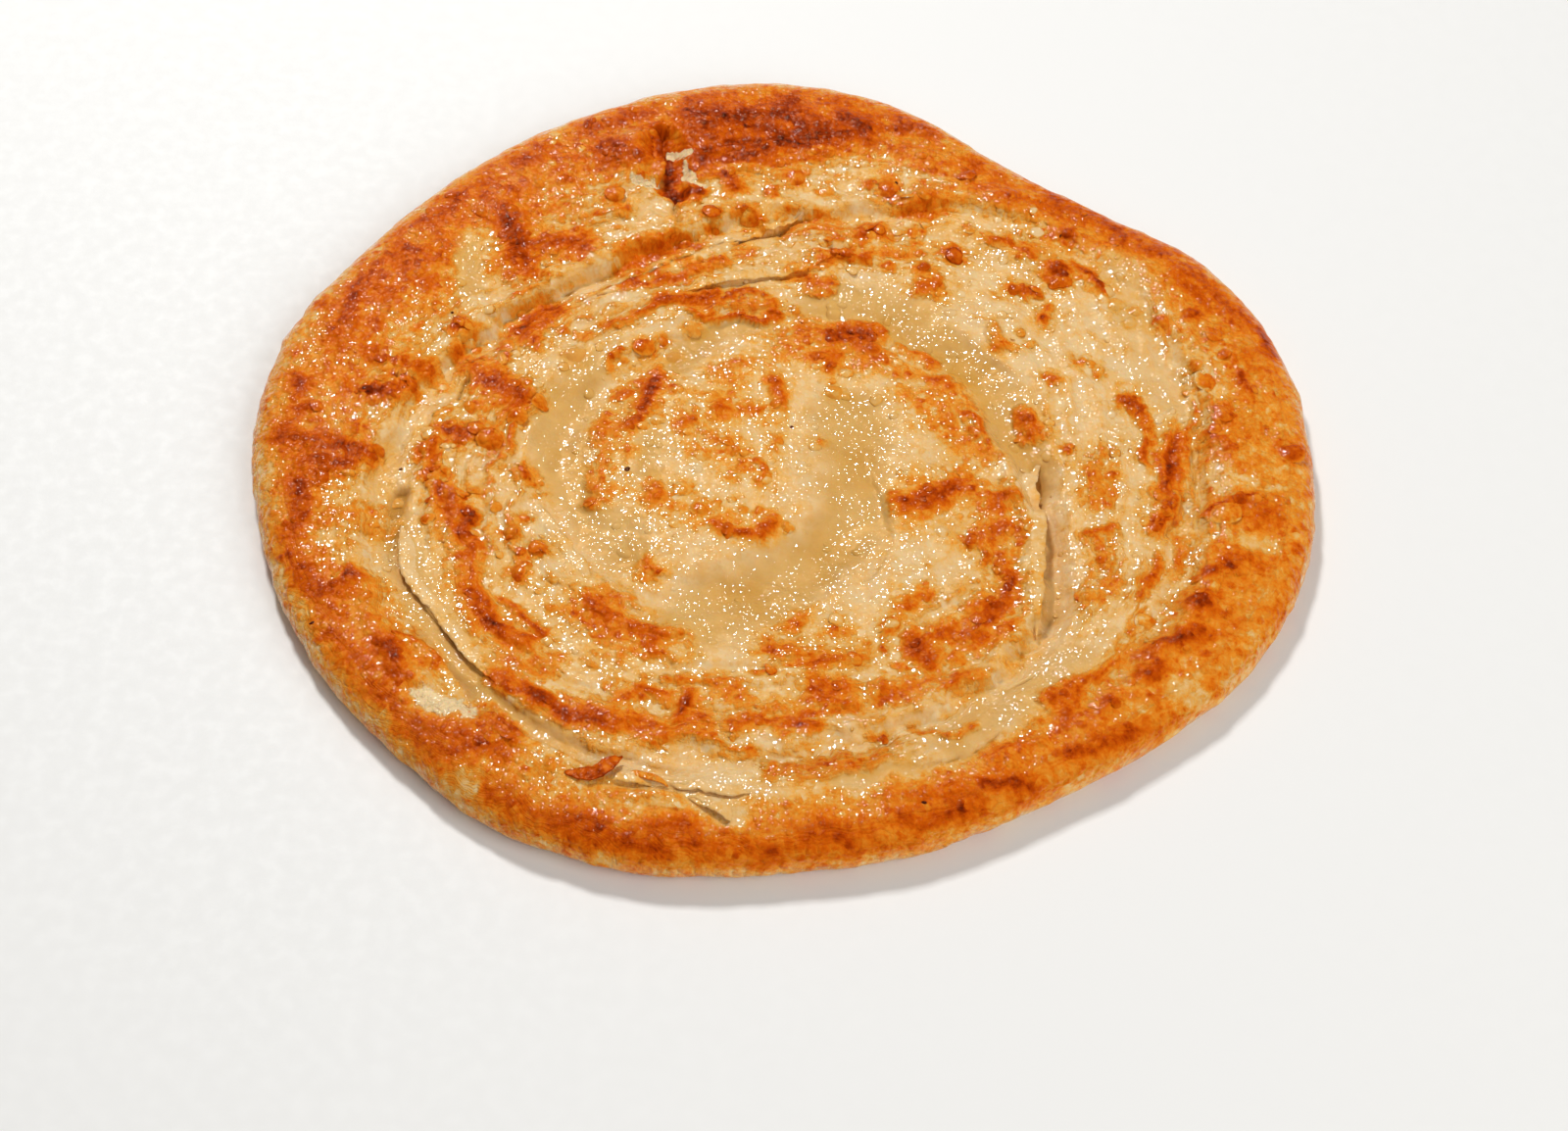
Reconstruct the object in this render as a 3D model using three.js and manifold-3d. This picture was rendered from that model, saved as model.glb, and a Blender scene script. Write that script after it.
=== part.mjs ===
// Lachha paratha: a rope of pleated dough, coiled, rolled flat and fried until its ridges brown.
// Millimetres, +Z up. The flat underside rests on z = 0 and the origin is below the middle of the round.
// Angles along the coil run clockwise, seen from above, from the front of the round.
import * as THREE from "three";
import { mergeVertices } from "three/addons/utils/BufferGeometryUtils.js";
import Module from "manifold-3d";

const { exp, hypot, PI } = Math;
const { clamp, degToRad, euclideanModulo, lerp, smoothstep } = THREE.MathUtils;

// The round seen from above: its radius at every fifteenth degree, counter-clockwise from the right.
const OUTLINE_RADII = [
  99.2, 99.4, 97, 89.2, 87.6, 94.2, 97.8, 96.6, 94.6, 93.4, 93.6, 97.2,
  98.5, 98.3, 98.8, 98.8, 100.2, 98.6, 94.6, 92.6, 90.8, 92.8, 96.6, 98.8,
];
const MEAN_RADIUS = 96;

// The rim in section: a round nose on a flat foot, and a crest where the outer turn is thickest.
const NOSE_HEIGHT = 3.4;
const FOOT_INSET = 4.5;
const SHOULDER_INSET = 6.5;
const SHOULDER_HEIGHT = 7.7;
const CREST_INSET = 13;
const CREST_HEIGHT = 8.3;
const DISH_INSET = 34;
const DISH_HEIGHT = 6.6;
const MIDDLE_HEIGHT = 6.1;

// The fold between the coil's turns: its radius at every eighth of a turn, from the middle outwards.
const COIL_MIDDLE = new THREE.Vector2(0, -8);
const COIL_START = degToRad(-90);
const COIL_STEP = degToRad(45);
const COIL_RADII = [
  12, 17, 25, 38.5, 42, 36, 37, 41.5, 45, 59, 65, 79, 73, 61, 65, 81, 76, 74.5, 74,
];
const COIL_FADE = 1.6; // steps over which each end of the fold runs out
const TURNS = 3;

// The fold is a wide, shallow pool near the middle and a narrow cleft near the rim.
const POOL = { halfWidth: 7.2, depth: 2.0 };
const CLEFT = { halfWidth: 3.2, depth: 2.3 };
const LIP = { offset: 5.2, halfWidth: 2.6, height: 0.7 };
const PLEAT = { offset: 11, halfWidth: 2.2, depth: 0.7 };
const FOLD_EDGE_INSET = { none: 6, full: 15 }; // the fold never cuts the rim's outer side

// Flakes of crust that have lifted along the fold: where each is rooted, which way its tip points and its size.
const FLAKE_THICKNESS = 0.8;
const FLAKE_ROOT_DEPTH = 1.1;
const FLAKES = [
  { x: -30, y: -75.5, heading: 12, length: 15, width: 6, lift: 34 },
  { x: -16, y: -77.5, heading: -8, length: 13, width: 4, lift: 22 },
  { x: 2, y: -79.5, heading: 165, length: 16, width: 5, lift: 16 },
  { x: 38, y: -69, heading: 28, length: 18, width: 5, lift: 16 },
  { x: 42, y: -16, heading: 42, length: 9, width: 7, lift: 16 },
  { x: 45, y: -33, heading: 86, length: 16, width: 5, lift: 14 },
  { x: -70.5, y: -24, heading: 80, length: 11, width: 5, lift: 18 },
  { x: -29, y: 43, heading: 26, length: 20, width: 5, lift: 12 },
];

// The torn blister at the back of the rim.
const TEAR = { x: -22.5, y: 70, heading: 112, length: 15, width: 5.5, depth: 3 };

const SEGMENTS = 128;
const RING_STEP = 2.8;
const NOSE_STEPS = 3;

// A smooth value through evenly spaced ones, at a place counted in steps; a closed row comes round again.
function through(values, place, closed = false) {
  const at = (i) => values[closed ? euclideanModulo(i, values.length) : clamp(i, 0, values.length - 1)];
  const i = Math.floor(place);
  const t = place - i;
  const [before, from, to, after] = [at(i - 1), at(i), at(i + 1), at(i + 2)];
  const rise = (to - before) / 2;
  const leave = (after - from) / 2;
  const turn = 2 * (from - to) + rise + leave;
  return from + t * (rise + t * (to - from - rise - turn + t * turn));
}

function outlineRadius(x, y) {
  const turns = Math.atan2(y, x) / (2 * PI);
  return through(OUTLINE_RADII, turns * OUTLINE_RADII.length, true);
}

const bell = (distance, halfWidth) => exp(-((distance / halfWidth) ** 2));

// How far the fold, its lip and the pleat beside it raise or sink the crust at a point.
function foldRelief(x, y) {
  const dx = x - COIL_MIDDLE.x;
  const dy = y - COIL_MIDDLE.y;
  const radius = hypot(dx, dy);
  const clockwise = euclideanModulo(Math.atan2(-dx, -dy), 2 * PI);
  const last = COIL_RADII.length - 1;
  let height = 0;
  for (let turn = -1; turn < TURNS; turn++) {
    const place = (clockwise + turn * 2 * PI - COIL_START) / COIL_STEP;
    const shown = smoothstep(place, 0, COIL_FADE) * (1 - smoothstep(place, last - COIL_FADE, last));
    if (shown === 0) continue;
    const outwards = radius - through(COIL_RADII, place);
    const share = clamp(place / last, 0, 1);
    const depth = lerp(POOL.depth, CLEFT.depth, share);
    const halfWidth = lerp(POOL.halfWidth, CLEFT.halfWidth, share);
    height -= shown * depth * bell(outwards, halfWidth);
    height += shown * LIP.height * bell(outwards - LIP.offset - halfWidth / 2, LIP.halfWidth);
    height -= shown * PLEAT.depth * bell(outwards - PLEAT.offset, PLEAT.halfWidth);
  }
  return height;
}

// Height of the crust at an inset from the edge, before the fold is pressed into it.
function crustHeight(inset) {
  const inner = lerp(CREST_HEIGHT, DISH_HEIGHT, smoothstep(inset, CREST_INSET, DISH_INSET));
  const toShoulder = smoothstep(inset, SHOULDER_INSET, CREST_INSET);
  return lerp(SHOULDER_HEIGHT, inner, toShoulder) + lerp(0, MIDDLE_HEIGHT - DISH_HEIGHT, inset / MEAN_RADIUS);
}

function topHeight(x, y, inset) {
  const folded = smoothstep(inset, FOLD_EDGE_INSET.none, FOLD_EDGE_INSET.full);
  return crustHeight(inset) + folded * foldRelief(x, y);
}

// The half-section from the middle of the underside, round the nose, to the middle of the top.
function sectionPoints() {
  const points = [new THREE.Vector2(0, 0)];
  const quarter = (from, to) => {
    for (let i = 0; i < NOSE_STEPS; i++) {
      const turn = ((from + ((to - from) * i) / NOSE_STEPS) * PI) / 2;
      const inset = (turn < 0 ? FOOT_INSET : SHOULDER_INSET) * (1 - Math.cos(turn));
      const reach = turn < 0 ? NOSE_HEIGHT : SHOULDER_HEIGHT - NOSE_HEIGHT;
      points.push(new THREE.Vector2(MEAN_RADIUS - inset, NOSE_HEIGHT + reach * Math.sin(turn)));
    }
  };
  quarter(-1, 0);
  quarter(0, 1);
  const firstOnTop = points.length;
  const rings = Math.round((MEAN_RADIUS - SHOULDER_INSET) / RING_STEP);
  for (let ring = 0; ring <= rings; ring++) {
    const inset = lerp(SHOULDER_INSET, MEAN_RADIUS, ring / rings);
    points.push(new THREE.Vector2(MEAN_RADIUS - inset, crustHeight(inset)));
  }
  return { points, firstOnTop };
}

// The round: the section spun about the middle, pulled out to the outline and folded on top.
function roundGeometry() {
  const { points, firstOnTop } = sectionPoints();
  const geometry = new THREE.LatheGeometry(points, SEGMENTS).rotateX(PI / 2);
  const position = geometry.getAttribute("position");
  for (let i = 0; i < position.count; i++) {
    const j = i % points.length;
    const stretch = outlineRadius(position.getX(i), position.getY(i)) / MEAN_RADIUS;
    const x = position.getX(i) * stretch;
    const y = position.getY(i) * stretch;
    const z = j < firstOnTop ? position.getZ(i) : topHeight(x, y, MEAN_RADIUS - points[j].x);
    position.setXYZ(i, x, y, z);
  }
  return geometry;
}

// Height of the finished crust anywhere on the round.
function surfaceHeight(x, y) {
  const inset = MEAN_RADIUS * (1 - hypot(x, y) / outlineRadius(x, y));
  return topHeight(x, y, inset);
}

// A leaf of crust, pointed at its tip, that hinges up from the surface along one long side.
function flakeGeometry({ x, y, heading, length, width, lift }) {
  const leaf = new THREE.Shape()
    .moveTo(0, -FLAKE_ROOT_DEPTH)
    .lineTo(0, width * 0.35)
    .quadraticCurveTo(length * 0.55, width * 1.2, length, width * 0.5)
    .lineTo(length * 0.8, -FLAKE_ROOT_DEPTH)
    .closePath();
  return new THREE.ExtrudeGeometry(leaf, { depth: FLAKE_THICKNESS, bevelEnabled: false, curveSegments: 6 })
    .rotateX(degToRad(lift))
    .rotateZ(degToRad(heading))
    .translate(x, y, surfaceHeight(x, y) - FLAKE_THICKNESS);
}

function tearGeometry({ x, y, heading, length, width, depth }) {
  return new THREE.SphereGeometry(1, 10, 6)
    .scale(length / 2, width / 2, depth)
    .rotateZ(degToRad(heading))
    .translate(x, y, surfaceHeight(x, y));
}

const wasm = await Module();
wasm.setup();

function solidFrom(geometry) {
  const bare = geometry.clone().deleteAttribute("normal").deleteAttribute("uv");
  const merged = mergeVertices(bare, 1e-4);
  return new wasm.Manifold(
    new wasm.Mesh({
      numProp: 3,
      vertProperties: new Float32Array(merged.getAttribute("position").array),
      triVerts: new Uint32Array(merged.index.array),
    }),
  );
}

function geometryFrom(solid) {
  const mesh = solid.getMesh();
  const geometry = new THREE.BufferGeometry();
  geometry.setAttribute("position", new THREE.BufferAttribute(mesh.vertProperties, 3));
  geometry.setIndex(new THREE.BufferAttribute(mesh.triVerts, 1));
  return geometry;
}

// One piece of food, so the round, its flakes and its tear become one solid, centred on the origin.
function parathaGeometry() {
  let solid = solidFrom(roundGeometry());
  for (const flake of FLAKES) solid = solid.add(solidFrom(flakeGeometry(flake)));
  solid = solid.subtract(solidFrom(tearGeometry(TEAR)));
  const geometry = geometryFrom(solid);
  geometry.computeBoundingBox();
  const middle = geometry.boundingBox.getCenter(new THREE.Vector3());
  geometry.translate(-middle.x, -middle.y, 0);
  geometry.computeVertexNormals();
  return geometry;
}

const friedDough = new THREE.MeshStandardMaterial({ color: 0xd9963f, roughness: 0.5, metalness: 0 });
const crust = new THREE.Mesh(parathaGeometry(), friedDough);
crust.name = "paratha";

const paratha = new THREE.Group();
paratha.add(crust);

export default paratha;
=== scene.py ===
"""Dresses a lachha paratha: its browned crust, lifted layers, loose flakes and fried blisters.

Places and sizes are in millimetres on the round, +X to the right and +Y to the back, as in the part's own
source, and become metres in the frame when a mesh is made.
"""

import itertools
import math
from collections import namedtuple

import bpy
import numpy as np
from bpy.props import FloatProperty, FloatVectorProperty, IntProperty, PointerProperty
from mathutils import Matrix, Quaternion, Vector


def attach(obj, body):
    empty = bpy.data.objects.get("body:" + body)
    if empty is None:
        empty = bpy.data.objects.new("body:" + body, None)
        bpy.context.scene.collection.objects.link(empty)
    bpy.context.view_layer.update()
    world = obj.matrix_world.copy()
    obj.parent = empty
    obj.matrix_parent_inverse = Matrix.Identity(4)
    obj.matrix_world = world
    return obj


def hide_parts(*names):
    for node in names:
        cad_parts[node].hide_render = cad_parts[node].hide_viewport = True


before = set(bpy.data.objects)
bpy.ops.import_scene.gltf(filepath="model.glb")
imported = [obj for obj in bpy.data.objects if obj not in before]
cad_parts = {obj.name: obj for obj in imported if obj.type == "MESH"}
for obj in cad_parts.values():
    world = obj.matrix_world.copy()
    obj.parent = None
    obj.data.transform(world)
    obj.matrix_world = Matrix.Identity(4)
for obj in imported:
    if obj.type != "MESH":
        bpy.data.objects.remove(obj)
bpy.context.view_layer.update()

bl_info = {
    "name": "Lachha paratha",
    "version": (1, 0, 0),
    "blender": (4, 5, 0),
    "location": "3D View > Sidebar > Paratha",
    "description": "Makes the browned crust, layers and blisters of a coiled flat bread",
    "category": "Object",
}

NODE = "paratha"
BODY = "root"
CRUST_MATERIAL = "fried crust"
LAYER_MATERIAL = "thin fried layer"
MM = 0.001
TAU = math.tau

# How softly light spreads in the crust and in thin layers, and how abruptly browning sets in.
CRUST_SOFTNESS = 0.35
LAYER_SOFTNESS = 0
CRISPNESS = 0.4

# The round seen from above: its radius at every fifteenth degree, counter-clockwise from the right.
OUTLINE_RADII = (
    99.2, 99.4, 97, 89.2, 87.6, 94.2, 97.8, 96.6, 94.6, 93.4, 93.6, 97.2,
    98.5, 98.3, 98.8, 98.8, 100.2, 98.6, 94.6, 92.6, 90.8, 92.8, 96.6, 98.8,
)
MEAN_RADIUS = 96

# The rim in section.
NOSE_HEIGHT = 3.4
FOOT_INSET = 4.5
SHOULDER_INSET = 6.5
SHOULDER_HEIGHT = 7.7
CREST_INSET = 13
CREST_HEIGHT = 8.3
DISH_INSET = 34
DISH_HEIGHT = 6.6
MIDDLE_HEIGHT = 6.1

# How far out the patterns of the top begin to run down the rim's side, and where all of them do.
SIDE_STARTS = 80
SIDE_FULL = 86

# How far marks and the edges of layers stray from the lines given for them.
MARK_STRAY = 1.7
EDGE_STRAY = 0.4

# The relief's heights: layers, lumps and grain; how far browned dough rises, and wet and torn dough sinks.
LAYER_RELIEF = 0.8
LUMP_RELIEF = 0.30
GRAIN_RELIEF = 0.10
BROWNED_RISE = 0.5
WET_SINK = 0.5
TORN_SINK = 0.5

# Depths of the finest relief, which is in the material, and of the ripples in its oil.
FINE_RELIEF = 0.22
OIL_RIPPLE = 0.095

# The fold between the coil's turns, at every eighth of a turn clockwise from the right: how far it is from
# the coil's middle, its half width, its depth, and its lean, positive where the outer side stands over it.
COIL_MIDDLE = (0, -8)
COIL_START = -90
COIL_STEP = 45
Fold = namedtuple("Fold", "radius half_width depth lean")
FOLDS = (
    Fold(12, 6.5, 1.2, 0.0),
    Fold(17, 7.0, 1.6, 0.0),
    Fold(25, 7.0, 1.7, 0.1),
    Fold(38.5, 5.5, 1.6, 0.2),
    Fold(42, 6.0, 1.6, 0.1),
    Fold(36, 5.0, 1.4, 0.2),
    Fold(37, 5.0, 1.4, 0.0),
    Fold(41.5, 6.0, 1.5, 0.0),
    Fold(45, 3.0, 2.0, -0.9),
    Fold(59, 2.6, 1.9, -0.8),
    Fold(65, 2.4, 1.3, -0.2),
    Fold(79, 3.5, 1.6, 0.3),
    Fold(73, 2.6, 1.3, 0.3),
    Fold(61, 2.2, 2.2, 0.9),
    Fold(65, 2.2, 1.8, 0.7),
    Fold(81, 2.5, 0.8, 0.2),
    Fold(76, 4.0, 1.5, 0.4),
    Fold(74.5, 3.5, 1.5, 0.4),
    Fold(74, 3.0, 1.4, 0.5),
)
TAIL_RADII = (84, 93, 101, 104, 106, 108)  # where the rope's tail runs out under the rim
COIL_FADE = 1.6
TURNS = 3
LAYERS_A_TURN = 8
ROPE_WIDTH = 28

# How far in from the edge the rim is browned, at every eighth of a turn counter-clockwise from the right.
RIM_WIDTHS = (22, 17, 25, 29, 24, 18, 13, 16)

# How toasted the rim is there, and the most that any of the crust is.
RIM_TONES = (0.47, 0.52, 0.60, 0.57, 0.55, 0.52, 0.47, 0.48)
DARKEST = 0.96

# Where the rim stayed pale all the same: how fully, how wide, and the line that follows it.
RIM_GAPS = (
    (1.0, 13, (-77, -18), (-79, -25), (-75, -34)),
    (0.8, 7, (-60, 46), (-61, 34)),
    (0.8, 9, (-36, 62), (-27, 59), (-20, 57)),
)

# How high on the rim's side browning starts, at the same places.
PALE_SIDES = (5.8, 6.6, 7.6, 7.6, 7.5, 6.6, 4.8, 5.2)

# Browned marks: how dark (0.4 golden, 0.6 orange, 0.8 brown, 1 nearly black), how wide, and their line.
BROWNED = (
    # The rim at the left.
    (0.85, 6, (-86, 34), (-83, 30), (-85, 21)),
    (0.75, 5, (-88, 28)),
    (0.85, 3.5, (-78, 23)),
    (0.80, 6, (-78, 14), (-68, 12)),
    (0.90, 5.5, (-92, 8)),
    (0.88, 5, (-77, 5), (-71, 8)),
    (0.75, 4, (-83, 6)),
    (0.80, 3, (-91, 4)),
    (0.85, 2.5, (-90, 0.5), (-88, 0.5)),
    (0.75, 3.5, (-79, -3)),
    (0.85, 6, (-94, -8), (-85, -9), (-77, -9.5)),
    (0.85, 8, (-88, -13), (-80, -13)),
    (0.90, 6, (-88, -18), (-88, -25), (-89, -33)),
    (0.55, 4, (-84, -28)),
    (0.50, 8, (-82, -25), (-74, -25)),
    (0.60, 3, (-83, -27)),
    (0.60, 3, (-74, -25.5)),
    # The rim at the back left.
    (0.85, 9, (-74, 50), (-64, 57)),
    (0.75, 12, (-86, 32), (-70, 40)),
    (0.88, 4, (-74, 42), (-70, 40)),
    (0.85, 4, (-80, 36)),
    (0.95, 8, (-58, 58), (-54, 50), (-51, 42)),
    (0.85, 7, (-52, 46), (-40, 47)),
    (0.70, 5.5, (-53, 38)),
    (0.75, 8.5, (-50, 72)),
    (0.70, 5, (-52, 77), (-34, 84)),
    (0.55, 8, (-62, 67)),
    (0.75, 8, (-34, 71)),
    (0.80, 5, (-34, 60)),
    (0.45, 9, (-45, 65)),
    # The large dark patch at the back, and the torn blister beside it.
    (0.93, 17, (-14, 82), (-4, 82), (8, 83)),
    (0.92, 11, (-16, 72), (-3, 77), (8, 79), (14, 82)),
    (0.97, 5, (-20, 84), (-10, 82), (0, 84), (5, 84)),
    (0.92, 5, (14, 80)),
    (0.85, 4, (-12, 68), (-11, 63)),
    (0.65, 5, (10, 91), (20, 88)),
    (0.75, 6, (24, 84), (32, 83)),
    (1.0, 6.5, (-26, 77.4), (-24.2, 72), (-23, 67), (-22.2, 62.5)),
    (0.95, 3.4, (-19.6, 63.6), (-17.6, 62.8)),
    (0.75, 5, (-28.6, 76), (-28.4, 70)),
    (0.50, 6, (-30, 76)),
    (0.70, 4, (-31, 71)),
    (0.70, 5, (-30, 84)),
    (0.70, 3, (-4, 64)),
    (0.80, 4, (-15, 57)),
    (0.65, 6, (-8, 57)),
    (0.97, 3, (-22.8, 66), (-21.6, 61)),
    (0.70, 3, (-15, 53)),
    (0.70, 3, (-18, 61)),
    (0.65, 6, (-32, 44), (-20, 51)),
    (0.80, 4, (-30, 44)),
    (0.55, 5, (-8, 47)),
    (0.50, 9, (2, 55), (8, 55)),
    (0.85, 6, (17, 54)),
    (0.70, 3, (25, 54)),
    (0.85, 5.5, (20, 66)),
    (0.75, 8, (25, 62), (29, 62)),
    (0.70, 3, (16, 67)),
    (0.55, 4, (0, 42), (12, 47), (25, 50)),
    (0.80, 3, (9, 46), (15, 47)),
    (0.70, 4.5, (26, 43)),
    (0.75, 5.5, (26, 39), (28, 39)),
    (0.85, 4.5, (33, 48)),
    (0.75, 5, (4, 39.5), (8, 39.5)),
    (0.75, 2, (-13.5, 34.5), (-10, 36.6), (-5, 36.4), (-2.3, 34)),
    (0.78, 2, (-18, 31), (-12, 29.5), (-6, 29.8), (-2.5, 32)),
    (0.42, 6, (-10, 33), (-6, 33.2)),
    (0.72, 4, (-17, 33), (-15, 33)),
    (0.70, 3.5, (-33, 36), (-20, 40), (-13, 44)),
    (0.75, 4, (-25, 32), (-15, 36)),
    # The back right.
    (0.75, 7, (42, 64), (48, 64)),
    (0.80, 3.5, (36, 69)),
    (0.75, 8, (50, 66), (62, 60), (70, 54), (78, 46), (86, 38), (90, 33)),
    (0.90, 4, (63, 59), (67, 53)),
    (0.90, 4, (77, 47), (84, 40), (87, 36)),
    (0.90, 6, (55, 54)),
    (0.80, 5, (48, 50)),
    (0.75, 3, (40, 52), (44, 52)),
    (0.90, 6, (53, 43), (53, 44)),
    (0.80, 4, (45, 39), (47, 39)),
    (0.80, 3, (57, 46), (61, 39)),
    (0.60, 3, (50, 34)),
    # The right.
    (0.85, 4.5, (79, 33)),
    (0.85, 4, (88, 36), (92, 30), (95, 24)),
    (0.75, 4, (82, 28)),
    (0.82, 3, (83.5, 22.5)),
    (0.90, 3, (86.5, 18), (87, 14)),
    (0.75, 5, (82, 7)),
    (0.85, 3.5, (79, 3), (81, -1)),
    (0.85, 4.5, (73.5, 2.5), (72, -5), (70, -12), (69, -19)),
    (0.70, 4, (65, 11), (67, 7), (68.5, 4.5)),
    (0.70, 2.5, (68, 1), (67, -4)),
    (0.90, 1.2, (78, -16), (81, -14), (86, -13.5)),
    (0.72, 8, (87, -16), (89, -16)),
    (0.95, 4.5, (80, -30)),
    (0.80, 6, (75, -31), (83, -28)),
    (0.75, 3, (93.5, -23)),
    (0.55, 2.5, (73, -22), (71, -28)),
    (0.62, 3, (67.5, -28), (64, -35)),
    (0.65, 4.5, (72.5, 30)),
    (0.75, 3.5, (49, 32)),
    (0.72, 3, (41, 24.5)),
    (0.50, 2, (55.5, 21), (57, 22.6), (58.5, 21.5)),
    (0.72, 3, (50, 16.5)),
    (0.78, 5, (44.5, 8), (47, 3)),
    (0.70, 2, (52, -1.5)),
    (0.78, 2, (32, 8), (35, 7), (37, 3), (35, 2)),
    (0.70, 3.5, (33, -6.5)),
    (0.65, 3, (36, -10)),
    (0.80, 3.5, (36, -14), (43, -13.5)),
    (0.70, 7, (38, -16)),
    (0.65, 6, (39, -20), (36, -24)),
    (0.75, 3, (34, -24)),
    (0.65, 3, (40, -32), (39, -27)),
    (0.50, 6, (59, -3), (57, -8), (58, -13)),
    (0.72, 2.5, (56, -22), (60, -20)),
    (0.50, 6, (57, -24), (57, -33)),
    # The front right.
    (0.92, 4, (34, -77.5), (41, -78)),
    (0.68, 7, (33, -80), (43, -77)),
    (0.62, 4, (35, -74), (45, -70)),
    (0.82, 3.5, (49, -71), (56, -69), (62, -65)),
    (0.74, 6, (46, -60), (50, -65)),
    (0.85, 5, (55, -60.5)),
    (0.60, 3, (44, -65)),
    (0.66, 4, (48, -59), (55, -54), (61, -49)),
    (0.80, 5, (61, -55), (65, -52)),
    (0.78, 5, (63, -50), (69, -47), (74, -44)),
    (0.92, 6, (73, -38.5), (75, -38.5)),
    (0.72, 4, (80, -40)),
    (0.75, 4, (88, -37)),
    (0.50, 2, (62, -48), (61.5, -44), (62, -42), (64, -38)),
    (0.45, 6, (55, -36)),
    (0.82, 5, (40, -32), (39, -38), (36, -43)),
    (0.55, 2.6, (42.8, -14), (41.6, -22), (41.6, -29)),
    (0.70, 7, (33, -46), (38, -46)),
    # The front.
    (0.79, 8, (-34, -42), (-29, -47), (-24, -49)),
    (0.54, 4, (-23, -50)),
    (0.39, 4, (-19, -50)),
    (0.44, 5, (-25, -32)),
    (0.56, 6, (0.5, -44)),
    (0.44, 5.5, (10, -46)),
    (0.64, 5, (-2, -49), (5, -53), (12, -52)),
    (0.74, 1.2, (-7, -55), (-3, -54.5)),
    (0.79, 5, (5, -59), (11, -60)),
    (0.66, 3, (2, -64), (9, -63)),
    (0.72, 4, (-9, -66.5), (0, -66), (6, -67)),
    (0.59, 2.5, (-21, -57), (-15, -58), (-10, -60)),
    (0.44, 4, (-10, -61), (0, -63)),
    (0.69, 4, (-28, -62), (-25, -59), (-22, -61)),
    (0.79, 3.5, (-19, -65), (-17, -61)),
    (0.69, 6, (-35, -66), (-28, -67), (-20, -69.5), (-14, -67)),
    (0.64, 3.2, (-14, -71), (-6, -73)),
    (0.49, 3, (-4, -75.5), (3, -75), (10, -74), (18, -71.5)),
    (0.54, 3.5, (-3, -77.5), (7, -77), (15, -75)),
    (0.54, 2.5, (22, -68), (28, -68.5), (33, -67)),
    (0.39, 3, (15, -68)),
    (0.62, 6, (18, -59), (24, -56), (30, -57)),
    (0.62, 3, (25, -37), (20, -41), (18, -45)),
    (0.54, 2, (18, -49)),
    (0.64, 3, (20, -52)),
    (0.79, 4.5, (23, -46), (25, -51)),
    (0.66, 7, (26, -46), (32, -44), (37, -39)),
    (0.72, 7, (-52, -83), (-42, -86), (-35, -89), (-20, -91.5), (-5, -92), (8, -90), (20, -86.5), (32, -83)),
    (0.89, 4, (-32, -90), (-22, -93), (-15, -92)),
    (0.89, 4, (-3, -92.5)),
    (0.87, 4, (22, -87), (30, -84)),
    (0.69, 5, (-30, -84)),
    (0.59, 2, (-29, -82), (-19, -84)),
    (0.74, 5, (-22, -88), (-18, -88)),
    (0.64, 5, (18, -82), (25, -80.5), (33, -77.5)),
    # The front left.
    (0.82, 9, (-89, -32), (-84, -40), (-81, -44)),
    (0.90, 5, (-80, -42), (-77, -38)),
    (0.75, 8, (-80, -52), (-76, -58), (-70, -65), (-62, -70), (-53, -75)),
    (0.88, 4, (-69, -52), (-67, -59)),
    (0.90, 4, (-69, -65)),
    (0.85, 3.5, (-66, -60)),
    (0.70, 3.5, (-73, -54)),
    (0.55, 6, (-70, -51), (-62, -55)),
    (0.72, 7, (-58, -67), (-52, -68), (-47, -73)),
    (0.90, 4, (-53, -75)),
    (0.50, 6, (-50, -78), (-38, -78)),
    (0.72, 7, (-58, -33), (-55, -40), (-51, -47), (-46, -52)),
    (0.85, 4, (-54, -45), (-50, -47)),
    (0.75, 2.5, (-50, -40), (-46, -45), (-43, -50)),
    (0.55, 6, (-50, -56), (-41, -56)),
    (0.80, 5, (-50, -59), (-45, -63), (-38, -66), (-32, -67)),
    # The coil at the left.
    (0.80, 5.5, (-61.5, 23)),
    (0.70, 4.5, (-62, 18)),
    (0.45, 4, (-62, 15)),
    (0.80, 8, (-50, 24), (-46, 30)),
    (0.85, 4, (-47, 21)),
    (0.80, 2.5, (-53, 17.5)),
    (0.65, 3, (-39, 23)),
    (0.60, 3, (-42, 25)),
    (0.80, 10, (-57, 12), (-52, 6)),
    (0.85, 4, (-52, 6)),
    (0.85, 3.5, (-58, 3.5)),
    (0.70, 3, (-49, 10)),
    (0.75, 6, (-63, -3), (-55, -3)),
    (0.75, 4, (-67, -7), (-65, -12)),
    (0.60, 3, (-67, -14)),
    (0.75, 7, (-62, -17), (-60, -23), (-57, -29)),
    (0.88, 3.5, (-58, -23), (-56, -27)),
    (0.55, 3, (-56, -17)),
    (0.60, 3, (-53, -21)),
    (0.70, 4.5, (-48, -12)),
    (0.40, 3, (-45, -16)),
    (0.75, 3.5, (-50, -26)),
    (0.60, 3, (-47, -31), (-43, -29)),
    (0.60, 3, (-37, -12)),
    (0.70, 4, (-35.5, -17)),
    # The coil's middle.
    (0.90, 8, (9, 25), (15, 26.5)),
    (0.60, 6, (3, 27), (5, 27)),
    (0.68, 6, (6, 21), (8, 21)),
    (0.75, 4, (8, 18)),
    (0.70, 3, (20.5, 17)),
    (0.70, 3, (22, 24.5), (25, 23), (27.5, 20.5)),
    (0.90, 4.5, (28, 16)),
    (0.75, 3, (30, 14)),
    (0.50, 5, (22, 12), (27, 9), (30, 6)),
    (0.60, 3, (33, 0)),
    (0.72, 3.5, (-2, 13), (-1.5, 7)),
    (0.62, 3.5, (-7, 6.5), (-5, 6.5)),
    (0.70, 3, (-14, 6.5), (-12, 6.5)),
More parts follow.
